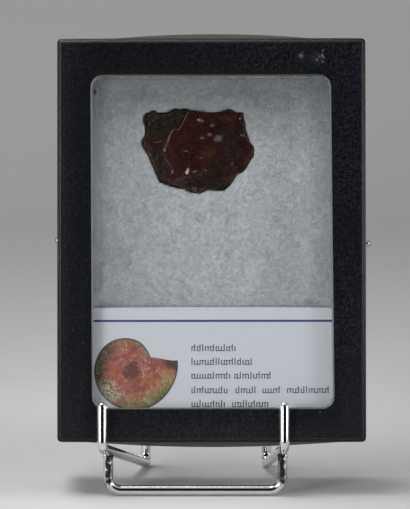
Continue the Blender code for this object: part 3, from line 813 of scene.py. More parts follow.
def tray_material(looks):
    material, tree, shader, place = new_mount_material("tray_card")
    grain = use_group(tree, "Paper grain", {"Place": place, "Scale": 0.8})
    dark = Vector(looks.tray_colour)
    base = tint(tree, ease(tree, grain["Mottle"], 0.3, 0.8), dark * 0.7, dark * 1.5)
    drawn = vectors(tree, "MULTIPLY", place, (1.0, 1.0, 0.25))
    scuffs = ease(tree, cloudy(tree, drawn, 0.35, 5.0, 0.7), 0.56, 0.74)
    base = tint(tree, times(tree, scuffs, 0.4), base, (0.035, 0.034, 0.033))
    dust = use_group(tree, "Dust", {"Place": place, "Scale": 0.6, "Amount": 0.12})["Specks"]
    base = tint(tree, times(tree, dust, 0.25), base, (0.2, 0.2, 0.2))
    rough = tint(tree, scuffs, grey(0.68), grey(0.5))
    set_shader(tree, shader, Base_Color=base, Roughness=rough,
               Normal=bumped(tree, grain["Height"], looks.grain))
    return material


def build_tray(looks):
    mesh = mesh_from(merged_copy("tray"), "tray_card", math.radians(32))
    as_piece("tray_inner", mesh, [tray_material(looks)], ["tray"])


def glass_material():
    """Clear glass that lets the lamps reach what lies behind it."""
    material, tree, shader, place = new_mount_material("clear_glass")
    smears = cloudy(tree, vectors(tree, "MULTIPLY", place, (1.0, 1.0, 0.4)), 0.12, 4.0, 0.6)
    set_shader(tree, shader, Base_Color=(0.975, 0.985, 0.985), Roughness=0.0, IOR=1.5,
               Transmission_Weight=1.0, Normal=bumped(tree, smears, 0.000002))
    path = put(tree, "ShaderNodeLightPath").outputs
    through = maths(tree, "MAXIMUM", path["Is Shadow Ray"], path["Is Diffuse Ray"])
    open_air = put(tree, "ShaderNodeBsdfTransparent", {0: (0.95, 0.96, 0.96, 1.0)}).outputs[0]
    mixed = put(tree, "ShaderNodeMixShader", {0: through, 1: shader.outputs[0], 2: open_air}).outputs[0]
    tree.links.new(mixed, tree.nodes["Material Output"].inputs["Surface"])
    return material


def build_glass():
    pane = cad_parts["glass_pane"]
    pane.data.materials.clear()
    pane.data.materials.append(glass_material())


# Batting


def fibre_mat(tree, place):
    """Fine pale fibres lying across one another over the face, 0 between them and 1 on them."""
    total = None
    layers = ((0.3, 1.0), (1.2, 1.25), (2.1, 0.9), (2.8, 1.1), (0.8, 1.6), (1.7, 1.4))
    for i, (turn, scale) in enumerate(layers):
        feeds = {"Vector": place, "Location": (7.0 * i, 0.0, 3.0 * i), "Rotation": (0.0, turn, 0.0),
                 "Scale": (1.4 / scale, 2.0, 0.20 / scale)}
        along = put(tree, "ShaderNodeMapping", feeds, vector_type="TEXTURE").outputs[0]
        streak = ease(tree, cloudy(tree, along, 1.0, 3.0, 0.6, 0.9), 0.50, 0.72)
        total = streak if total is None else maths(tree, "MAXIMUM", total, streak)
    return total


def cotton_material(looks):
    material, tree, shader, place = new_mount_material("cotton")
    soft = cloudy(tree, place, 0.75, 5.0, 0.68, 0.5)
    fibres = maths(tree, "MULTIPLY_ADD", fibre_mat(tree, place), 0.30, times(tree, soft, 0.70))
    lumps = cloudy(tree, place, 0.22, 3.0, 0.55)
    pale = Vector(looks.colour)
    base = tint(tree, ease(tree, fibres, 0.30, 0.62), pale * 0.70, pale * 1.14)
    base = tint(tree, ease(tree, lumps, 0.35, 0.65, 0.0, 0.25), base, pale * 0.78)
    away = use_group(tree, "Window distance", {"Place": place})["Distance"]
    across, _, up = apart(tree, place)
    # Painted shade: the filling darker towards the window's edges, weak along the right edge, fading out
    # right at the edge
    hollow = put(tree, "ShaderNodeMapRange", {
        "Value": away, "From Min": -22.0, "From Max": -4.0, "To Min": 0.0, "To Max": 0.30}).outputs[0]
    hollow = times(tree, hollow, ease(tree, away, -5.5, -2.0, 1.0, 0.0))
    hollow = times(tree, hollow, ease(tree, across, 18.0, 28.0, 1.2, 0.15))
    base = tint(tree, hollow, base, pale * 0.34)
    # Painted shadow under the window's upper edge, fading over about 24 mm downward and ragged with the lumps
    top_shade = minus(tree, (WINDOW_LOW + WINDOW_TALL) / MM, up)
    ragged = maths(tree, "MULTIPLY_ADD", lumps, 8.0, -4.0)
    under = ease(tree, top_shade, 0.2, 0.9)
    top_shade = ease(tree, plus(tree, top_shade, ragged), 0.0, 24.0, 0.66, 0.0)
    top_shade = times(tree, top_shade, under)
    base = tint(tree, top_shade, base, pale * 0.24)
    # Painted light: the filling lighter close to the window's left and right edges, less towards the upper
    # right
    lit = ease(tree, absolute(tree, across), 26.0, 29.0, 0.0, 0.8)
    lit = times(tree, lit, ease(tree, plus(tree, across, up), 35.0, 75.0, 1.0, 0.25))
    base = tint(tree, times(tree, lit, ease(tree, away, -3.4, -0.6)), base, pale * 1.25)
    # A darker patch near the window's upper left corner
    spot = joined_up(tree, across, times(tree, up, 0.6))
    corner_dark = vectors(tree, "DISTANCE", spot, (-31.3, 93.7 * 0.6, 0.0))
    corner_dark = maths(tree, "MULTIPLY_ADD", fibres, 0.5, corner_dark)
    base = tint(tree, ease(tree, corner_dark, 0.45, 0.85, 0.85, 0.0), base, (0.05, 0.05, 0.055))
    set_shader(tree, shader, Base_Color=base, Roughness=0.95, Specular_IOR_Level=0.1,
               Normal=bumped(tree, fibres, 0.00016))
    return material


def stone_gap(x, z):
    """Distance outside the stone's outline at a point on the face, less than 0 within it."""
    dx, dz = x - STONE_X, z - STONE_Z
    reach = math.hypot(dx, dz)
    if reach > 0.024:
        return reach - STONE_REACH
    return reach - outline_radius(STONE_OUTLINE, math.atan2(dz, dx))


def fill_depth(x, z, lump):
    """Depth of the filling's front: crowned, lumpy, and hollowed where the stone lies in it."""
    side = min(x + FILL_HALF, FILL_HALF - x)
    ends = min(z - FILL_SIDE, BOX_HEIGHT - FILL_SIDE - z)
    edge = 1.0 - min(max(min(side, ends), 0.0) / FILL_MARGIN, 1.0)
    depth = FILL_FRONT + 0.0014 * edge ** 2
    depth += lump * (rippled(x, z, 0.0075, 3.0) + 0.28 * rippled(x, z, 0.0028, 8.0)) * (1.0 - 0.3 * edge)
    if z < LABEL_TOP + 0.004:
        depth = max(depth, 0.0041 + 0.0006 * soft_step(LABEL_TOP + 0.003 - z, 0.0, 0.003))
    gap = stone_gap(x, z)
    shoulder = POCKET_SHOULDER + 0.0002 * rippled(x, z, 0.004, 1.0)
    if gap < POCKET_SLOPE:
        depth = max(depth, shoulder + (depth - shoulder) * soft_step(gap, -0.001, POCKET_SLOPE))
    if gap < 0.0002:
        depth += (POCKET_BOTTOM - depth) * (1.0 - soft_step(gap, -0.0008, 0.0002))
    return max(depth, 0.0034)


def build_fill(looks):
    """The pad of filling, its front a fine grid."""
    columns, rows = 141, 187

    def across(c):
        return -FILL_HALF + 2 * FILL_HALF * c / (columns - 1)

    def up(r):
        return FILL_SIDE + (BOX_HEIGHT - 2 * FILL_SIDE) * r / (rows - 1)

    bm = closed_sheet(
        lambda c, r: MOUNT @ Vector((across(c), fill_depth(across(c), up(r), looks.lump), up(r))),
        lambda c, r: MOUNT @ Vector((across(c), FILL_BACK, up(r))), columns, rows)
    # The flat back needs no grid: one face there, cut into a fan round its middle
    to_mount = MOUNT.inverted()
    flat = [face for face in bm.faces if (to_mount @ face.calc_center_median()).y > FILL_BACK - 0.00001]
    whole = bmesh.ops.dissolve_faces(bm, faces=flat)["region"]
    bmesh.ops.poke(bm, faces=whole)
    mesh = mesh_from(bm, "cotton_pad", math.radians(50))
    shown = []
    for vert in mesh.vertices:
        spot = to_mount @ vert.co
        gap = stone_gap(spot.x, spot.z)
        clear = spot.y < 0.0095 and spot.z > LABEL_TOP - 0.003 and gap > 0.0013
        shown.append(float(clear and abs(spot.x) < 0.0370))
    add_mask(mesh, "shown", shown)
    return mesh


def strand_tree(looks, material):
    """Geometry nodes that lay loose curved strands on the pad."""
    tree = bpy.data.node_groups.new("Loose strands", "GeometryNodeTree")
    sockets = {}
    tree.interface.new_socket("Geometry", in_out="INPUT", socket_type="NodeSocketGeometry")
    for label, kind, value in (
            ("Density", "NodeSocketFloat", 1.0), ("Length", "NodeSocketFloat", looks.strand_length),
            ("Radius", "NodeSocketFloat", looks.strand_radius), ("Seed", "NodeSocketInt", 4)):
        socket = tree.interface.new_socket(label, in_out="INPUT", socket_type=kind)
        socket.default_value = value
        sockets[label] = socket.identifier
    tree.interface.new_socket("Geometry", in_out="OUTPUT", socket_type="NodeSocketGeometry")
    into = tree.nodes.new("NodeGroupInput").outputs
    out = tree.nodes.new("NodeGroupOutput")

    shown = put(tree, "GeometryNodeInputNamedAttribute", {"Name": "shown"}, data_type="FLOAT").outputs[0]
    density = times(tree, shown, into["Density"])
    points = put(tree, "GeometryNodeDistributePointsOnFaces", {
        "Mesh": into["Geometry"], "Density": density, "Seed": into["Seed"]},
        distribute_method="RANDOM").outputs
    length = into["Length"]

    def bent(rise, sag):
        """One strand along X, bowed sideways by sag and lifted by rise, as shares of its length."""
        ends = []
        for shares in ((-0.5, 0.0, 0.0), (-0.1, sag, rise), (0.5, sag * 0.3, 0.0)):
            parts = {i: times(tree, length, share) for i, share in enumerate(shares)}
            ends.append(put(tree, "ShaderNodeCombineXYZ", parts).outputs[0])
        line = put(tree, "GeometryNodeCurveQuadraticBezier", {
            "Resolution": 4, "Start": ends[0], "Middle": ends[1], "End": ends[2]}).outputs[0]
        ring = put(tree, "GeometryNodeCurvePrimitiveCircle", {"Resolution": 3, "Radius": into["Radius"]},
                   mode="RADIUS").outputs[0]
        return put(tree, "GeometryNodeCurveToMesh", {"Curve": line, "Profile Curve": ring,
                                                     "Fill Caps": True}).outputs[0]

    kinds = put(tree, "GeometryNodeGeometryToInstance")
    for rise, sag in ((0.04, 0.55), (0.06, -0.30), (0.03, 0.15), (0.05, 0.85)):
        tree.links.new(bent(rise, sag), kinds.inputs[0])
    # A random value has sockets of its own for each kind: 2 and 3 for numbers, 4 and 5 for counts
    spin = put(tree, "FunctionNodeRandomValue", {3: math.tau, "Seed": 7}, data_type="FLOAT")
    turn = put(tree, "ShaderNodeCombineXYZ", {2: spin.outputs[1]}).outputs[0]
    facing = put(tree, "FunctionNodeRotateRotation", {
        "Rotation": points["Rotation"], "Rotate By": turn}, rotation_space="LOCAL").outputs[0]
    size = put(tree, "FunctionNodeRandomValue", {2: 0.5, 3: 1.25, "Seed": 9}, data_type="FLOAT")
    picked = put(tree, "FunctionNodeRandomValue", {4: 0, 5: 3, "Seed": 12}, data_type="INT")
    laid = put(tree, "GeometryNodeInstanceOnPoints", {
        "Points": points["Points"], "Instance": kinds.outputs[0], "Pick Instance": True,
        "Instance Index": picked.outputs[2], "Rotation": facing, "Scale": size.outputs[1]}).outputs[0]
    joined = put(tree, "GeometryNodeJoinGeometry")
    tree.links.new(laid, joined.inputs[0])
    tree.links.new(into["Geometry"], joined.inputs[0])
    real = put(tree, "GeometryNodeRealizeInstances", {0: joined.outputs[0]}).outputs[0]
    done = put(tree, "GeometryNodeSetMaterial", {"Geometry": real, "Material": material}).outputs[0]
    tree.links.new(done, out.inputs[0])
    return tree, sockets


def build_batting(looks):
    material = cotton_material(looks)
    pad = build_fill(looks)
    holder = add_object("pad_holder", pad)
    tree, sockets = strand_tree(looks, material)
    modifier = holder.modifiers.new("strands", "NODES")
    modifier.node_group = tree
    modifier[sockets["Density"]] = looks.strands / STRAND_AREA
    mesh = evaluated_mesh(holder)
    mesh.name = "cotton_batting"
    batting = as_piece("cotton_batting", mesh, [material], ["batting"])


# Stone


def zone_reach(dx, dz, wide, tall, turn):
    """Distance from a zone's middle, 1 at its edge. The turn is in degrees."""
    angle = math.radians(turn)
    along = (dx * math.cos(angle) + dz * math.sin(angle)) / wide
    over = (-dx * math.sin(angle) + dz * math.cos(angle)) / tall
    return math.hypot(along, over)


def in_zones(x, z, zones):
    """How far a point, in millimetres, lies inside a zone: 1 near its middle, 0 at its edge."""
    best = 0.0
    for middle_x, middle_z, wide, tall, turn in zones:
        best = max(best, 1.3 * (1.0 - zone_reach(x - middle_x, z - middle_z, wide, tall, turn)))
    return min(max(best, 0.0), 1.0)


def near_lines(x, z, width):
    """1 on a layer line and 0 beyond its width, all in millimetres."""
    best = 0.0
    for points, strength in LAYER_LINES:
        for (ax, az), (bx, bz) in zip(points, points[1:]):
            beside = min(ax, bx) - width < x < max(ax, bx) + width
            level = min(az, bz) - width < z < max(az, bz) + width
            if not (beside and level):
                continue
            run, climb = bx - ax, bz - az
            along = ((x - ax) * run + (z - az) * climb) / (run ** 2 + climb ** 2)
            along = min(max(along, 0.0), 1.0)
            away = math.hypot(x - ax - along * run, z - az - along * climb)
            best = max(best, strength * (1.0 - soft_step(away, width * 0.25, width)))
    return best


def chip_height(x, z):
    """Height of the chips over the stone, in metres, at a point in millimetres."""
    total = 0.0
    for middle_x, middle_z, wide, tall, turn, share in CHIPS:
        dx, dz = x - middle_x, z - middle_z
        if math.hypot(dx, dz) < 1.3 * wide:
            inside = 1.0 - soft_step(zone_reach(dx, dz, wide, tall, turn), 0.60, 1.25)
            total += MM * inside * share * (0.40 * dx - 0.03 * dz)
    return total


def stone_edge(angle):
    """The stone's outline with its small chips."""
    spot = Vector((math.cos(angle), math.sin(angle), 0.0))
    chips = 0.00016 * noise.noise(spot * 11.0) + 0.00010 * noise.noise(spot * 27.0 + Vector((4, 1, 2)))
    return outline_radius(STONE_OUTLINE, angle) + chips


def plate_gap(x, z):
    """Distance outside the raised shell layer's edge, less than 0 on it."""
    dx, dz = x - PLATE_MIDDLE[0], z - PLATE_MIDDLE[1]
    angle = math.atan2(dz, dx)
    wavy = 0.00014 * noise.noise(Vector((math.cos(angle), math.sin(angle), 0.3)) * 9.0)
    return math.hypot(dx, dz) - outline_radius(PLATE_OUTLINE, angle) - wavy


def stone_depth(x, z, relief):
    """Depth of the stone's front behind the face, from its domed shell down to its broken edges."""
    reach = math.hypot(x, z)
    dome = STONE_DOME * (reach / STONE_REACH) ** 2
    gap = plate_gap(x, z)
    # The layer ends in a crisp step on its left and wears away smoothly on its right
    crisp = soft_step(-x, -0.0005, 0.0025) * soft_step(z, -0.0015, 0.0010)
    width = 0.00026 + 0.00110 * (1.0 - crisp)
    layer = PLATE_HEIGHT * soft_step(gap, -width, width)
    matrix = in_zones(x / MM, z / MM, MATRIX_ZONES)
    calm = 1.0 - soft_step(-gap, 0.0, 0.0012)
    rough = relief * (0.10 + 0.55 * calm + 0.9 * matrix)
    broken = rough * (rippled(x, z, 0.0034, 2.0) + 0.45 * rippled(x, z, 0.0014, 6.0)
                      + 0.16 * rippled(x, z, 0.0006, 9.0))
    steps = rippled(x, z * 1.6, 0.0075, 4.0) * 3.0
    ledge = 0.00006 * (math.floor(steps) + soft_step(steps % 1.0, 0.78, 1.0)) * soft_step(gap, 0.0, 0.002)
    lines = 0.00004 * near_lines(x / MM, z / MM, 0.40)
    return STONE_FRONT + dome + layer + broken - ledge - lines - chip_height(x / MM, z / MM)


def build_stone(looks):
    """One closed stone: a polar grid over its front, a broken rim, and a rough back."""
    spokes, rings, rim_rows, back_rows = 480, 124, 8, 12
    rows = []
    middle = Vector((STONE_X, 0.0, STONE_Z))
    angles = [math.tau * i / spokes for i in range(spokes)]
    edges = [stone_edge(angle) for angle in angles]

    def point(i, share, depth):
        x, z = edges[i] * share * math.cos(angles[i]), edges[i] * share * math.sin(angles[i])
        return x, z, depth(x, z)

    def back(x, z):
        return STONE_FRONT + STONE_THICKNESS + 0.0003 * rippled(x, z, 0.003, 1.5)

    def front(x, z):
        return stone_depth(x, z, looks.roughness)

    for ring in range(1, rings + 1):
        share = ring / rings
        worn = 0.00038 * soft_step(share, 0.955, 1.0) ** 2
        placed = (point(i, share, front) for i in range(spokes))
        rows.append([(x, depth + worn, z) for x, z, depth in placed])
    for step in range(1, rim_rows):
        share = step / rim_rows
        row = []
        for (x, depth, z), angle in zip(rows[rings - 1], angles):
            ripple = rippled(angle / 9, share / 9, 0.02, 3.0)
            wall = 1.0 + 0.010 * math.sin(math.pi * share) + 0.008 * ripple
            row.append((x * wall, depth + (back(x, z) - depth) * share, z * wall))
        rows.append(row)
    for ring in range(back_rows, 0, -1):
        placed = (point(i, ring / back_rows, back) for i in range(spokes))
        rows.append([(x, depth, z) for x, z, depth in placed])

    bm = bmesh.new()
    verts = [[bm.verts.new(MOUNT @ (middle + Vector(spot))) for spot in row] for row in rows]
    near = bm.verts.new(MOUNT @ (middle + Vector((0.0, front(0.0, 0.0), 0.0))))
    far = bm.verts.new(MOUNT @ (middle + Vector((0.0, back(0.0, 0.0), 0.0))))
    for i in range(spokes):
        j = (i + 1) % spokes
        bm.faces.new((near, verts[0][i], verts[0][j]))
        bm.faces.new((far, verts[-1][j], verts[-1][i]))
        for inner, outer in zip(verts, verts[1:]):
            bm.faces.new((inner[i], outer[i], outer[j], inner[j]))
    bmesh.ops.recalc_face_normals(bm, faces=bm.faces)
    mesh = mesh_from(bm, "shell_fragment", math.radians(60))

    to_stone = (MOUNT @ Matrix.Translation(middle)).inverted()
    zones = {"matrix": MATRIX_ZONES, "amber": AMBER_ZONES, "violet": VIOLET_ZONES, "olive": OLIVE_ZONES,
             "bruise_and_glint": BRUISES_AND_GLINTS}
    masks = {name: [] for name in ("plate", "lines", "rim", *zones)}
    for vert in mesh.vertices:
        masks["rim"].append(soft_step(vert.index // spokes + 1, rings * 0.962, rings * 0.985))
        spot = to_stone @ vert.co
        x, z = spot.x / MM, spot.z / MM
        for name, places in zones.items():
            masks[name].append(in_zones(x, z, places))
        masks["matrix"][-1] = max(masks["matrix"][-1], soft_step(spot.y, 0.0056, 0.0068))
        masks["plate"].append(1.0 - soft_step(plate_gap(spot.x, spot.z), -0.0002, 0.0002))
        masks["lines"].append(near_lines(x, z, 0.30))
    for name, values in masks.items():
        add_mask(mesh, name, values)
    as_piece("shell_fragment", mesh, [stone_material(looks)], ["ammolite_fragment"])


def stone_material(looks):
    material, tree, shader, place = new_mount_material("ammolite")

    def mask(name):
        return read_mask(tree, name)

    def broken(under, over, share, scale):
        return use_group(tree, "Broken mix", {
            "Place": place, "Scale": scale, "Mask": share,
            "Under": solid(under), "Over": solid(over)})["Color"]

    red = Vector(looks.shell_colour)
    veins = cloudy(tree, place, 0.75, 7.0, 0.72, 1.4)
    fine = cloudy(tree, place, 2.4, 5.0, 0.70)
    outer = Vector((red.x * 0.78, red.y * 1.25, red.z * 1.25))
    base = tint(tree, mask("plate"), outer, red)
    base = broken(base, looks.violet_colour, mask("violet"), 0.6)
    base = broken(base, looks.amber_colour, mask("amber"), 0.8)
    base = broken(base, looks.olive_colour, mask("olive"), 0.8)
    _, _, up = apart(tree, place)
    shale = Vector(looks.matrix_colour)
    shale = tint(tree, ease(tree, up, 67.9, 68.8, 1.0, 0.0), shale, shale * 2.6)
    base = broken(base, shale, mask("matrix"), 0.9)
    depth = tint(tree, ease(tree, veins, 0.36, 0.66), grey(0.50), grey(1.55))
    base = tint(tree, 1.0, base, depth, "MULTIPLY")
    specked = tint(tree, ease(tree, fine, 0.34, 0.66), grey(0.72), grey(1.30))
    base = tint(tree, 1.0, base, specked, "MULTIPLY")
    dull = ease(tree, mask("matrix"), 0.2, 0.6)
    gritty = tint(tree, ease(tree, fine, 0.42, 0.60), grey(0.30), grey(1.65))
    base = tint(tree, dull, base, tint(tree, 1.0, base, gritty, "MULTIPLY"))
    # Pale layer lines: partly the shell's broken edges, partly painted highlight
    pale_edge_and_highlight = ease(tree, maths(tree, "MULTIPLY_ADD", fine, 0.9, mask("lines")), 0.72, 1.25)
    pale_edge_and_highlight = times(tree, pale_edge_and_highlight, ease(tree, veins, 0.42, 0.60, 0.25, 0.75))
    base = tint(tree, pale_edge_and_highlight, base, (0.145, 0.098, 0.082))
    # Pale spots: partly whitened bruises, partly painted highlights
    bruise_and_glint_share = ease(tree, maths(tree, "MULTIPLY_ADD", fine, 1.1, mask("bruise_and_glint")), 0.72, 1.55)
    base = tint(tree, times(tree, bruise_and_glint_share, 0.60), base, (0.19, 0.155, 0.150))

    cracks = cracked(tree, place, 0.6, 3.0, 0.36)
    crack = ease(tree, cracks, 0.0, 0.025, 1.0, 0.0)
    crack = times(tree, crack, ease(tree, veins, 0.42, 0.60))
    base = tint(tree, times(tree, crack, 0.5), base, (0.060, 0.034, 0.026))

    rough = tint(tree, ease(tree, veins, 0.3, 0.7), grey(0.30), grey(0.42))
    rough = tint(tree, dull, rough, grey(0.75))
    relief = times(tree, fine, maths(tree, "MULTIPLY_ADD", dull, 2.0, 0.35))
    relief = plus(tree, relief, times(tree, crack, -0.3))
    coat = ease(tree, mask("matrix"), 0.15, 0.5, 0.85, 0.0)
    coat = times(tree, coat, maths(tree, "MULTIPLY_ADD", mask("rim"), -0.7, 1.0))
    coat = times(tree, coat, maths(tree, "MULTIPLY_ADD", mask("plate"), 0.4, 0.6))
    set_shader(tree, shader, Base_Color=base, Roughness=rough, Specular_IOR_Level=0.08,
               Coat_Weight=coat, Coat_Roughness=0.07,
               Normal=bumped(tree, relief, 0.00012), Coat_Normal=bumped(tree, relief, 0.00003))
    return material


# Printed card


def label_material(looks):
    material, tree, shader, place = new_mount_material("label_paper")
    pale = Vector(looks.paper_colour)
    fibres = cloudy(tree, place, 1.8, 5.0, 0.7)
    base = tint(tree, ease(tree, fibres, 0.3, 0.7), pale * 0.965, pale * 1.0)
    away = use_group(tree, "Window distance", {"Place": place})["Distance"]
    # Painted light: the card lighter within 6 mm of the window's edge, where the frame shades it
    base = tint(tree, ease(tree, away, -6.0, -1.0), base, pale * 1.09)
    set_shader(tree, shader, Base_Color=base, Roughness=0.55, Normal=bumped(tree, fibres, 0.00001))
    return material


def ink_material(name, colour):
    material, tree, shader, place = new_mount_material(name)
    dots = cloudy(tree, place, 5.0, 3.0, 0.8)
    ink = Vector(colour)
    set_shader(tree, shader, Base_Color=tint(tree, ease(tree, dots, 0.3, 0.7), ink * 0.8, ink * 1.3),
               Roughness=0.5)
    return material


def picture_material():
    """Ink of the spiral: its UV map holds the turn round the spiral and the share of its radius."""
    material, tree, shader, place = new_mount_material("spiral_ink")
    turn, share, _ = apart(tree, put(tree, "ShaderNodeUVMap", uv_map="spiral").outputs[0])
    flat = vectors(tree, "MULTIPLY", place, (1.0, 0.0, 1.0))
    hub = vectors(tree, "DISTANCE", flat, (SPIRAL_MIDDLE.x / MM, 0.0, SPIRAL_MIDDLE.z / MM))
    cloud = cloudy(tree, place, 0.42, 7.0, 0.72, 1.0)
    patch = cloudy(tree, vectors(tree, "ADD", place, (9.0, 0, 4.0)), 0.26, 5.0, 0.6)
    fine = cloudy(tree, place, 1.5, 5.0, 0.75)

    def reach(start, full, fade, end, inner, outer):
        """A patch between two turns round the spiral and outside a share of its radius, broken by noise."""
        along = times(tree, ease(tree, turn, start, full), ease(tree, turn, fade, end, 1.0, 0.0))
        ragged = maths(tree, "MULTIPLY_ADD", cloud, 0.9, minus(tree, share, 0.45))
        return times(tree, along, ease(tree, ragged, inner, outer))

    red, rose, orange = (0.42, 0.085, 0.065), (0.34, 0.085, 0.095), (0.50, 0.225, 0.125)
    base = tint(tree, ease(tree, cloud, 0.38, 0.62), red, orange)
    base = tint(tree, ease(tree, patch, 0.46, 0.60, 0.0, 0.85), base, rose)
    for low, high, dark, pale, bounds in COIL_PATCHES:
        ink = tint(tree, ease(tree, fine, low, high), dark, pale)
        base = tint(tree, reach(*bounds), base, ink)
    moved = vectors(tree, "ADD", place, (1.0, 0, 2.0))
    burnt = ease(tree, cloudy(tree, moved, 0.40, 6.0, 0.75), 0.52, 0.66)
    base = tint(tree, times(tree, burnt, 0.6), base, (0.13, 0.075, 0.060))
    moved = vectors(tree, "ADD", place, (3.0, 0, 8.0))
    bleached = ease(tree, cloudy(tree, moved, 0.50, 5.0, 0.75), 0.55, 0.66)
    base = tint(tree, times(tree, bleached, 0.60), base, (0.62, 0.52, 0.43))
    streaks = cloudy(tree, vectors(tree, "MULTIPLY", place, (1.0, 1.0, 2.6)), 0.34, 5.0, 0.7, 1.5)
    base = tint(tree, ease(tree, streaks, 0.56, 0.70, 0.0, 0.55), base, (0.56, 0.30, 0.24))
    base = tint(tree, ease(tree, streaks, 0.44, 0.32, 0.0, 0.55), base, (0.17, 0.060, 0.050))

    # Faint ribs curve outward over the whorl, and fine cracks cross them
    bow = times(tree, times(tree, share, share), 0.9)
    beat = maths(tree, "SINE", times(tree, minus(tree, turn, bow), 34.0))
    rib = ease(tree, maths(tree, "MULTIPLY_ADD", fine, 3.2, beat), 1.9, 2.8)
    rib = times(tree, rib, ease(tree, share, 0.55, 0.90, 0.0, 0.42))
    base = tint(tree, rib, base, (0.14, 0.075, 0.050))
    cracks = cracked(tree, place, 0.7, 4.0, 0.45)
    base = tint(tree, ease(tree, cracks, 0.0, 0.05, 0.5, 0.0), base, (0.11, 0.070, 0.055))

    # Dark lip at the mouth, dark hub and outline
    mouth = minus(tree, turn, times(tree, share, 0.10))
    mouth = maths(tree, "MULTIPLY_ADD", cloud, -0.12, mouth)
    lip = times(tree, ease(tree, mouth, 0.00, 0.16, 0.9, 0.0), ease(tree, share, 0.66, 0.80))
    base = tint(tree, lip, base, (0.085, 0.052, 0.042))
    ragged = maths(tree, "MULTIPLY_ADD", cloud, 5.0, -2.5)
    centre = plus(tree, hub, ragged)
    hollow = ease(tree, centre, 1.2, 3.0, 0.9, 0.0)
    hollow = times(tree, hollow, ease(tree, fine, 0.30, 0.56, 0.35, 1.0))
    base = tint(tree, hollow, base, (0.115, 0.055, 0.055))
    curl = minus(tree, centre, times(tree, turn, 0.16))
    ring = absolute(tree, minus(tree, curl, 1.3))
    ring = times(tree, ease(tree, ring, 0.10, 0.60, 0.7, 0.0), ease(tree, fine, 0.40, 0.55))
    base = tint(tree, ring, base, (0.060, 0.040, 0.040))
    outer = maths(tree, "MULTIPLY_ADD", fine, 0.10, share)
    base = tint(tree, ease(tree, outer, 0.975, 1.05, 0.0, 0.85), base, (0.085, 0.065, 0.052))
    set_shader(tree, shader, Base_Color=base, Roughness=0.42)
    return material


def label_point(x, z, lift=0.0):
    """A point on the card's front, which bows a little towards the glass in its middle."""
    bow = 0.00012 * (1.0 - (x / FILL_HALF) ** 2)
    return MOUNT @ Vector((x, LABEL_FRONT - bow - lift, z))


def add_print(bm, corners, material_index):
    """A thin closed patch of ink over a closed ring of (x, z) points on the card."""
    near = [bm.verts.new(label_point(x, z, INK)) for x, z in corners]
    far = [bm.verts.new(label_point(x, z, -INK)) for x, z in corners]
    faces = [bm.faces.new(near), bm.faces.new(far[::-1])]
    for i in range(len(corners)):
        j = (i + 1) % len(corners)
        faces.append(bm.faces.new((near[j], near[i], far[i], far[j])))
    for face in faces:
        face.material_index = material_index


def add_bar(bm, left, right, low, high, material_index):
    add_print(bm, [(left, low), (right, low), (right, high), (left, high)], material_index)


def add_strokes(bm, left, right, base, dice, material_index):
    """A word-long row of plain upright and level strokes, which spell nothing."""
    high, thick, pitch = 0.00128, 0.00027, 0.00072
    x = left
    while x + thick < right:
        kind = dice.choice("uunnohl")
        tall = high * (1.45 if kind in "hl" else 1.0)
        add_bar(bm, x, x + thick, base, base + tall, material_index)
        if kind in "uo" and x + pitch + thick < right:
            add_bar(bm, x + thick, x + pitch, base, base + thick * 0.8, material_index)
        if kind in "no" and x + pitch + thick < right:
            add_bar(bm, x + thick, x + pitch, base + high - thick * 0.8, base + high, material_index)
        x += pitch


def spiral_mesh(looks):
    """A generic coiled shell in outline, a thin closed patch of ink with its own UV map."""
    spokes, rings = 180, 22
    start = math.radians(13)
    bm = bmesh.new()
    uv = bm.loops.layers.uv.new("spiral")
    places = {}

    def spot(i, k, lift):
        turn = math.tau * i / spokes
        shares = [np.interp(math.degrees(turn) + step, *zip(*COIL)) for step in (-9, -3, 3, 9)]
        reach = looks.picture_reach * sum(shares) / 4 * k / rings
        inward = max(1.0 - max(reach, 0.0062) / looks.picture_reach, 0.0)
        angle = start - turn + math.radians(88) * inward ** 2
        across = SPIRAL_MIDDLE.x + reach * math.cos(angle)
        vert = bm.verts.new(label_point(across, SPIRAL_MIDDLE.z + reach * math.sin(angle), lift))
        places[vert] = (turn, k / rings)
        return vert

    for lift in (INK, -INK):
        hub = spot(0, 0, lift)
        grid = [[spot(i, k, lift) for k in range(1, rings + 1)] for i in range(spokes + 1)]
        for before, after in zip(grid, grid[1:]):
            bm.faces.new((hub, before[0], after[0]))
            for k in range(rings - 1):
                bm.faces.new((before[k], before[k + 1], after[k + 1], after[k]))
        if lift > 0:
            near, near_hub = grid, hub
    for before, after, far_before, far_after in zip(near, near[1:], grid, grid[1:]):
        bm.faces.new((before[-1], after[-1], far_after[-1], far_before[-1]))
    for line, far_line in ((near[0], grid[0]), (near[-1], grid[-1])):
        chain, far_chain = [near_hub] + line, [hub] + far_line
        for k in range(rings):
            bm.faces.new((chain[k], chain[k + 1], far_chain[k + 1], far_chain[k]))
    bmesh.ops.recalc_face_normals(bm, faces=bm.faces)
    for face in bm.faces:
        for loop in face.loops:
            loop[uv].uv = places[loop.vert]
    return mesh_from(bm, "printed_spiral")


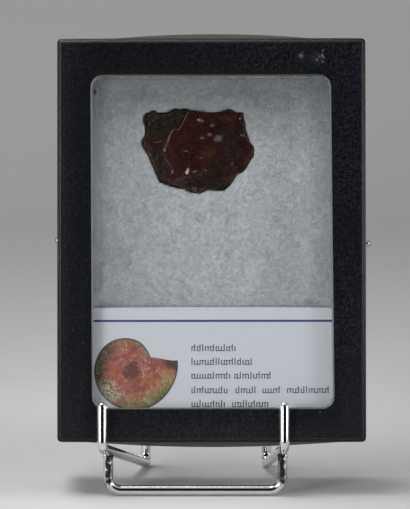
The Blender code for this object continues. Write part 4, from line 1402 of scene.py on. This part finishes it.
def build_label(looks):
    """The card, its printed line, rows of strokes and spiral picture."""
    columns, rows = 49, 9

    def across(c):
        return -FILL_HALF + 2 * FILL_HALF * c / (columns - 1)

    def up(c, r):
        top = LABEL_TOP + 0.00022 * (1.0 - (across(c) / FILL_HALF) ** 2) - 0.00010
        return FILL_SIDE + (top - FILL_SIDE) * r / (rows - 1)

    bm = closed_sheet(
        lambda c, r: label_point(across(c), up(c, r)),
        lambda c, r: label_point(across(c), up(c, r), -LABEL_THICKNESS), columns, rows)
    steps = 24
    for i in range(steps):
        left = -FILL_HALF + 2 * FILL_HALF * i / steps
        right = left + 2 * FILL_HALF / steps
        add_bar(bm, left, right, looks.rule_height - RULE_HALF, looks.rule_height + RULE_HALF, 1)
    dice = random.Random(11)
    text_rows = (
        (0.02425, ((-5.4, 7.1),)),
        (0.0206, ((-5.4, 11.4),)),
        (0.0169, ((-5.4, 5.0), (6.1, 15.9))),
        (0.0130, ((-5.4, 4.6), (6.4, 12.4), (13.6, 18.9), (20.2, 31.4))),
        (0.0093, ((-5.4, 4.0), (5.5, 15.2))),
    )
    for base, words in text_rows:
        for left, right in words:
            add_strokes(bm, left * MM, right * MM, base, dice, 2)
    mesh = mesh_from(bm, "printed_card", math.radians(30))
    materials = [
        label_material(looks), ink_material("rule_ink", looks.rule_colour),
        ink_material("stroke_ink", looks.text_colour)]
    as_piece("printed_card", mesh, materials, ["label_card"])
    as_piece("printed_spiral", spiral_mesh(looks), [picture_material()], [])


# Pins and easel


def steel_material(looks):
    material, tree, shader = new_material("pin_steel")
    spot = object_place(tree)
    scratches = cloudy(tree, spot, 2600.0, 3.0, 0.7)
    steel = Vector(looks.pin_colour)
    base = tint(tree, ease(tree, scratches, 0.35, 0.7), steel, steel * 0.55)
    rough = tint(tree, scratches, grey(0.16), grey(0.40))
    set_shader(tree, shader, Base_Color=base, Metallic=1.0, Roughness=rough)
    return material


def build_pins(looks):
    steel = steel_material(looks)
    for side in ("left", "right"):
        mesh = mesh_from(merged_copy("pin_" + side), "steel_pin_" + side, math.radians(45))
        as_piece("steel_pin_" + side, mesh, [steel], ["pin_" + side])


def chrome_material(looks, name, bumps):
    material, tree, shader = new_material(name)
    spot = object_place(tree)
    haze = cloudy(tree, spot, 420.0, 4.0, 0.6)
    plate = Vector(looks.chrome_colour)
    base = tint(tree, ease(tree, haze, 0.35, 0.7), plate * 0.93, plate)
    if bumps:
        # Dark on the front of the posts: partly heat burn from the welds, partly a painted reflection of the
        # dark room in front
        burn_and_reflection_share = read_mask(tree, "burn_and_dark_reflection")
        lumps = cloudy(tree, spot, 900.0, 4.0, 0.7)
        burnt = ease(tree, plus(tree, lumps, times(tree, burn_and_reflection_share, 0.8)), 1.06, 1.26)
        base = tint(tree, burnt, base, (0.034, 0.030, 0.030))
        rough = tint(tree, burnt, grey(0.07), grey(0.20))
        normal = bumped(tree, times(tree, burn_and_reflection_share, cloudy(tree, spot, 1300.0, 3.0)), 0.00034)
    else:
        rough = tint(tree, ease(tree, haze, 0.4, 0.75), grey(0.045), grey(0.11))
        normal = bumped(tree, haze, 0.000006)
    set_shader(tree, shader, Base_Color=base, Metallic=1.0, Roughness=rough, Normal=normal)
    return material


def filleted(points, radii):
    """A path through corner points, each corner rounded to its radius."""
    path = [points[0]]
    for before, corner, after, radius in zip(points, points[1:], points[2:], radii):
        arrive = (before - corner).normalized()
        leave = (after - corner).normalized()
        opening = arrive.angle(leave)
        centre = corner + (arrive + leave).normalized() * radius / math.sin(opening / 2)
        tangent = radius / math.tan(opening / 2)
        spoke = corner + arrive * tangent - centre
        axis = (-arrive).cross(leave).normalized()
        turn = math.pi - opening
        count = max(2, round(turn / TURN_STEP))
        for i in range(count + 1):
            path.append(centre + Matrix.Rotation(turn * i / count, 3, axis) @ spoke)
    path.append(points[-1])
    return path


def domed(path, swell=1.0):
    """A path's points with their share of the full wire radius, both ends run out to a dome."""
    def run_out(end, inner):
        outward = (end - inner).normalized()
        angles = [math.radians(angle) for angle in (0, 12, 25, 37, 50, 61, 72, 80, 87)]
        base = end - outward * WIRE_RADIUS
        return [(base + outward * WIRE_RADIUS * math.sin(a), swell * math.cos(a)) for a in angles]

    start = run_out(path[0], path[1])[::-1]
    finish = run_out(path[-1], path[-2])
    return start + [(point, 1.0) for point in path[1:-1]] + finish


def wire_mesh(name, path, swell=1.0):
    curve = bpy.data.curves.new(name, "CURVE")
    curve.dimensions = "3D"
    curve.bevel_depth = WIRE_RADIUS
    curve.bevel_resolution = (WIRE_SIDES - 4) // 2
    curve.use_fill_caps = True
    places = domed(path, swell)
    spline = curve.splines.new("POLY")
    spline.points.add(len(places) - 1)
    for knot, (place, share) in zip(spline.points, places):
        knot.co = (*(place + EASEL_ORIGIN), 1.0)
        knot.radius = share
    spline.use_smooth = True
    mesh = evaluated_mesh(add_object(name + "_curve", curve))
    bm = bmesh.new()
    bm.from_mesh(mesh)
    bmesh.ops.remove_doubles(bm, verts=bm.verts, dist=0.0000005)
    bmesh.ops.recalc_face_normals(bm, faces=bm.faces)
    return bm


def hook_bend(side):
    return Vector((side * HOOK_SPREAD, 0.0, HOOK_BEND_HEIGHT))


def easel_corners(side):
    """One half of the wire: hook tip, bend, rear foot, and the back rest behind the mount."""
    gap = SOLID_RADIUS + CLEARANCE
    rest = hook_bend(0) + INTO_BOX * (2 * gap + BOX_DEPTH)
    rest += UP_FACE * ((REST_HEIGHT - rest.z) / UP_FACE.z)
    bend = hook_bend(side)
    x = side * REAR_FOOT_SPREAD + REAR_SHIFT
    return [
        bend + UP_FACE * HOOK_LENGTH,
        bend,
        Vector((x, REAR_FOOT_Y - REAR_FOOT_FLAT, WIRE_AXIS_HEIGHT)),
        Vector((x, REAR_FOOT_Y, WIRE_AXIS_HEIGHT)),
        Vector((x, rest.y, rest.z)),
    ]


def add_bead(bm, place, radius, stretch):
    """A small bead of weld metal."""
    turn = Matrix.Translation(EASEL_ORIGIN + place) @ Matrix.Diagonal((*stretch, 1.0))
    made = bmesh.ops.create_icosphere(bm, subdivisions=3, radius=radius, matrix=turn)
    for vert in made["verts"]:
        spot = vert.co - EASEL_ORIGIN - place
        vert.co += spot * 0.28 * noise.noise(vert.co * 2600.0)


def build_easel(looks):
    corners = easel_corners(-1) + easel_corners(1)[::-1]
    radii = [HOOK_BEND_RADIUS, REAR_FOOT_RADIUS, REAR_FOOT_RADIUS, REST_RADIUS]
    bm = wire_mesh("easel_chrome", filleted(corners, radii + radii[::-1]))
    chrome = chrome_material(looks, "chrome", False)
    mesh = mesh_from(bm, "easel_chrome", math.radians(60))
    as_piece("easel_chrome", mesh, [chrome], ["easel_wire"])

    def post(side, height):
        return Vector((side * LEG_SPREAD + LEG_SHIFT, 0.0, height))

    corners = [post(-1, LEG_TOP), post(-1, WIRE_AXIS_HEIGHT), post(1, WIRE_AXIS_HEIGHT), post(1, LEG_TOP)]
    path = filleted(corners, [LEG_CORNER_RADIUS] * 2)
    # Points close together up the posts, for the lumps of the welds
    heights = [tenth / 10000 for tenth in range(56, 106, 2)]
    left = [post(-1, height) for height in reversed(heights)]
    right = [post(1, height) for height in heights]
    path = [path[0], *left, *path[1:-1], *right, path[-1]]
    bm = wire_mesh("front_leg_chrome", path, WELD_SWELL)
    for vert in bm.verts:
        spot = vert.co - EASEL_ORIGIN
        share = soft_step(spot.z, 0.0052, 0.0088)
        if share:
            axis = Vector((math.copysign(LEG_SPREAD, spot.x) + LEG_SHIFT, 0.0, spot.z))
            lump = noise.noise(vert.co * 900.0) + 0.6 * noise.noise(vert.co * 2200.0)
            vert.co += (spot - axis).normalized() * looks.weld_lump * share * lump
    for side in (-1, 1):
        for across, ahead, rise, radius, stretch in WELD_BEADS:
            bead = post(side, WELD_HEIGHT) + Vector((side * across, ahead, rise))
            add_bead(bm, bead, radius, stretch)
    mesh = mesh_from(bm, "front_leg_chrome", math.radians(60))
    # The front half of the posts darkened from just above the foot: partly weld burn, partly a painted dark
    # reflection
    burn_and_dark_reflection = []
    for vert in mesh.vertices:
        spot = vert.co - EASEL_ORIGIN
        ahead = soft_step(-spot.y / WIRE_RADIUS, 0.1, 0.8)
        inner = math.copysign(LEG_SPREAD, spot.x) + LEG_SHIFT - spot.x
        inner *= math.copysign(1.0, spot.x)
        clear = soft_step(inner / WIRE_RADIUS, 0.45, 0.75) * soft_step(0.0095 - spot.z, 0.0, 0.002)
        outer = soft_step(-inner / WIRE_RADIUS, 0.35, 0.85)
        burn_and_dark_reflection.append(soft_step(spot.z, 0.0012, 0.0042) * ahead * (1.0 - clear) * (1.0 - 0.8 * outer))
    add_mask(mesh, "burn_and_dark_reflection", burn_and_dark_reflection)
    burn_and_reflection_share = chrome_material(looks, "welded_chrome", True)
    as_piece("front_leg_chrome", mesh, [burn_and_reflection_share], ["easel_front_leg"])


# Stage


def floor_material(looks):
    material, tree, shader = new_material("floor_paper")
    spot = object_place(tree)
    flat = vectors(tree, "MULTIPLY", spot, (1.0, 1.0, 0.0))
    away = vectors(tree, "DISTANCE", flat, FLOOR_MIDDLE)
    # The ramp paints a pool of light round the mount
    ramp = put(tree, "ShaderNodeValToRGB", {0: away})
    stops = ramp.color_ramp.elements
    for reach, share in FLOOR_STOPS:
        stops.new(reach).color = solid(grey(share))
    stops.remove(stops[0])
    stops.remove(stops[-1])
    behind = apart(tree, spot)[1]
    front = ease(tree, behind, -0.18, -0.06, 1.0, 0.0)
    share = tint(tree, front, ramp.outputs[0], grey(0.86))
    # Painted shadow: a darker band across the table under the mount's front, paler again in front of it and
    # further behind
    shadow_band = ease(tree, behind, -0.032, -0.014, 1.05, 0.86)
    shadow_band = plus(tree, shadow_band, ease(tree, behind, 0.018, 0.075, 0.0, 0.14))
    base = tint(tree, 1.0, scaled(tree, share, shadow_band), looks.floor_colour, "MULTIPLY")
    fibres = cloudy(tree, spot, 90.0, 4.0, 0.6)
    base = tint(tree, ease(tree, fibres, 0.3, 0.7, 0.0, 0.02), base, grey(0.2))
    set_shader(tree, shader, Base_Color=base, Roughness=0.75, Normal=bumped(tree, fibres, 0.00001))
    return material


def build_floor(looks):
    bm = bmesh.new()
    bmesh.ops.create_circle(bm, cap_ends=True, radius=4.0, segments=96)
    floor = add_object("floor", mesh_from(bm, "floor"))
    floor.data.materials.append(floor_material(looks))


def add_softbox(name, place, aim, size, power):
    data = bpy.data.lights.new(name, "AREA")
    data.shape = "RECTANGLE"
    data.size, data.size_y = size
    data.energy = power
    lamp = add_object(name, data)
    lamp.location = place
    lamp.rotation_euler = (Vector(aim) - Vector(place)).to_track_quat("-Z", "Y").to_euler()


def build_world():
    """A studio room: pale at its sides, dimmer above and behind, and dark round the camera."""
    world = bpy.data.worlds.new("studio")
    bpy.context.scene.world = world
    world.use_nodes = True
    tree = world.node_tree
    shade = tree.nodes["Background"]
    around = put(tree, "ShaderNodeTexCoord").outputs["Generated"]
    across, ahead, up = apart(tree, around)
    beside = ease(tree, absolute(tree, across), 0.30, 0.60)
    beside = times(tree, beside, ease(tree, ahead, 0.05, 0.45, 1.0, 0.0))
    room = tint(tree, beside, grey(0.24), grey(0.92))
    room = tint(tree, ease(tree, up, 0.35, 0.80), room, grey(0.46))
    camera_side = vectors(tree, "DISTANCE", around, (0.0, -0.966, 0.259))
    room = tint(tree, ease(tree, camera_side, 0.62, 0.86, 1.0, 0.0), room, grey(0.013))
    seen = put(tree, "ShaderNodeLightPath").outputs["Is Camera Ray"]
    tree.links.new(tint(tree, seen, room, grey(0.33)), shade.inputs["Color"])


def build_camera(looks):
    """A long lens a little above the table. The picture is 410 by 509, its long side on the sensor."""
    face_middle = MOUNT @ Vector((0.0, 0.0, FACE_MIDDLE))
    turn, rise, roll = looks.azimuth, looks.elevation, CAMERA_ROLL
    ahead = Vector((-math.sin(turn) * math.cos(rise), math.cos(turn) * math.cos(rise), -math.sin(rise)))
    place = face_middle - ahead * looks.distance
    right = Vector((math.cos(turn), math.sin(turn), 0.0))
    up = right.cross(ahead)
    aim = face_middle - right * AIM_LEFT - up * AIM_DOWN
    ahead = (aim - place).normalized()
    right = ahead.cross(Vector((0.0, 0.0, 1.0))).normalized()
    up = right.cross(ahead)
    level, upright = right, up
    right = level * math.cos(roll) - upright * math.sin(roll)
    up = level * math.sin(roll) + upright * math.cos(roll)
    data = bpy.data.cameras.new("camera")
    data.sensor_width = 36.0
    data.lens = PIXELS_PER_METRE * looks.distance * data.sensor_width / PICTURE_TALL
    data.clip_start, data.clip_end = 0.05, 20.0
    camera = add_object("camera", data)
    turned = Matrix((right, up, -ahead)).transposed().to_4x4()
    camera.matrix_world = Matrix.Translation(place) @ turned
    bpy.context.scene.camera = camera


def build_stage(looks):
    bpy.context.scene.view_settings.view_transform = "Standard"
    build_camera(looks)
    build_floor(looks)
    build_world()
    middle = (0.0, 0.0, 0.05)
    add_softbox("key_left", (-0.72, -0.72, 0.30), middle, (0.36, 0.42), 3.9)
    add_softbox("fill_right", (0.90, -0.50, 0.26), middle, (0.24, 0.36), 2.2)
    add_softbox("top", (-0.31, 0.215, 1.08), middle, (0.60, 0.56), 8.2)


# Add-on


class SPECIMEN_OT_stage(Operator):
    """Set up the camera, the table, the room and the lamps"""

    bl_idname = "specimen.stage"
    bl_label = "Stage"
    bl_options = {"REGISTER", "UNDO"}

    def execute(self, context):
        build_stage(context.scene.specimen_stage)
        return {"FINISHED"}


class SPECIMEN_OT_card_box(Operator):
    """Make the lid with its punched window, and the tray"""

    bl_idname = "specimen.card_box"
    bl_label = "Card box"
    bl_options = {"REGISTER", "UNDO"}

    def execute(self, context):
        build_lid(context.scene.specimen_mount)
        build_tray(context.scene.specimen_mount)
        return {"FINISHED"}


class SPECIMEN_OT_glass(Operator):
    """Finish the glass pane"""

    bl_idname = "specimen.glass"
    bl_label = "Glass pane"
    bl_options = {"REGISTER", "UNDO"}

    def execute(self, context):
        build_glass()
        return {"FINISHED"}


class SPECIMEN_OT_batting(Operator):
    """Make the fibre filling and its loose strands"""

    bl_idname = "specimen.batting"
    bl_label = "Batting"
    bl_options = {"REGISTER", "UNDO"}

    def execute(self, context):
        build_batting(context.scene.specimen_batting)
        return {"FINISHED"}


class SPECIMEN_OT_stone(Operator):
    """Make the fossil fragment"""

    bl_idname = "specimen.stone"
    bl_label = "Ammolite fragment"
    bl_options = {"REGISTER", "UNDO"}

    def execute(self, context):
        build_stone(context.scene.specimen_stone)
        return {"FINISHED"}


class SPECIMEN_OT_label(Operator):
    """Make the printed card"""

    bl_idname = "specimen.label"
    bl_label = "Printed card"
    bl_options = {"REGISTER", "UNDO"}

    def execute(self, context):
        build_label(context.scene.specimen_label)
        return {"FINISHED"}


class SPECIMEN_OT_pins(Operator):
    """Make the two steel pins"""

    bl_idname = "specimen.pins"
    bl_label = "Pins"
    bl_options = {"REGISTER", "UNDO"}

    def execute(self, context):
        build_pins(context.scene.specimen_easel)
        return {"FINISHED"}


class SPECIMEN_OT_easel(Operator):
    """Make the chromed wire easel and its welded front leg"""

    bl_idname = "specimen.easel"
    bl_label = "Wire easel"
    bl_options = {"REGISTER", "UNDO"}

    def execute(self, context):
        build_easel(context.scene.specimen_easel)
        return {"FINISHED"}


class VIEW3D_PT_specimen(Panel):
    bl_label = "Ammolite specimen"
    bl_space_type = "VIEW_3D"
    bl_region_type = "UI"
    bl_category = "Specimen"

    def draw(self, context):
        for step in STEPS:
            self.layout.operator(step.bl_idname)
        for name in LOOKS:
            looks = getattr(context.scene, name)
            column = self.layout.column(align=True)
            for key in looks.__annotations__:
                column.prop(looks, key)


LOOKS = {
    "specimen_mount": MountLooks,
    "specimen_batting": BattingLooks,
    "specimen_stone": StoneLooks,
    "specimen_label": LabelLooks,
    "specimen_easel": EaselLooks,
    "specimen_stage": StageLooks,
}
STEPS = (
    SPECIMEN_OT_stage, SPECIMEN_OT_card_box, SPECIMEN_OT_glass, SPECIMEN_OT_batting,
    SPECIMEN_OT_stone, SPECIMEN_OT_label, SPECIMEN_OT_pins, SPECIMEN_OT_easel,
)


def register():
    for cls in (*LOOKS.values(), *STEPS, VIEW3D_PT_specimen):
        bpy.utils.register_class(cls)
    for name, cls in LOOKS.items():
        setattr(bpy.types.Scene, name, PointerProperty(type=cls))


def unregister():
    for name in LOOKS:
        delattr(bpy.types.Scene, name)
    for cls in reversed((*LOOKS.values(), *STEPS, VIEW3D_PT_specimen)):
        bpy.utils.unregister_class(cls)


def main():
    register()
    build_groups()
    for step in STEPS:
        getattr(bpy.ops.specimen, step.bl_idname.split(".")[1])()


if __name__ == "__main__":
    main()
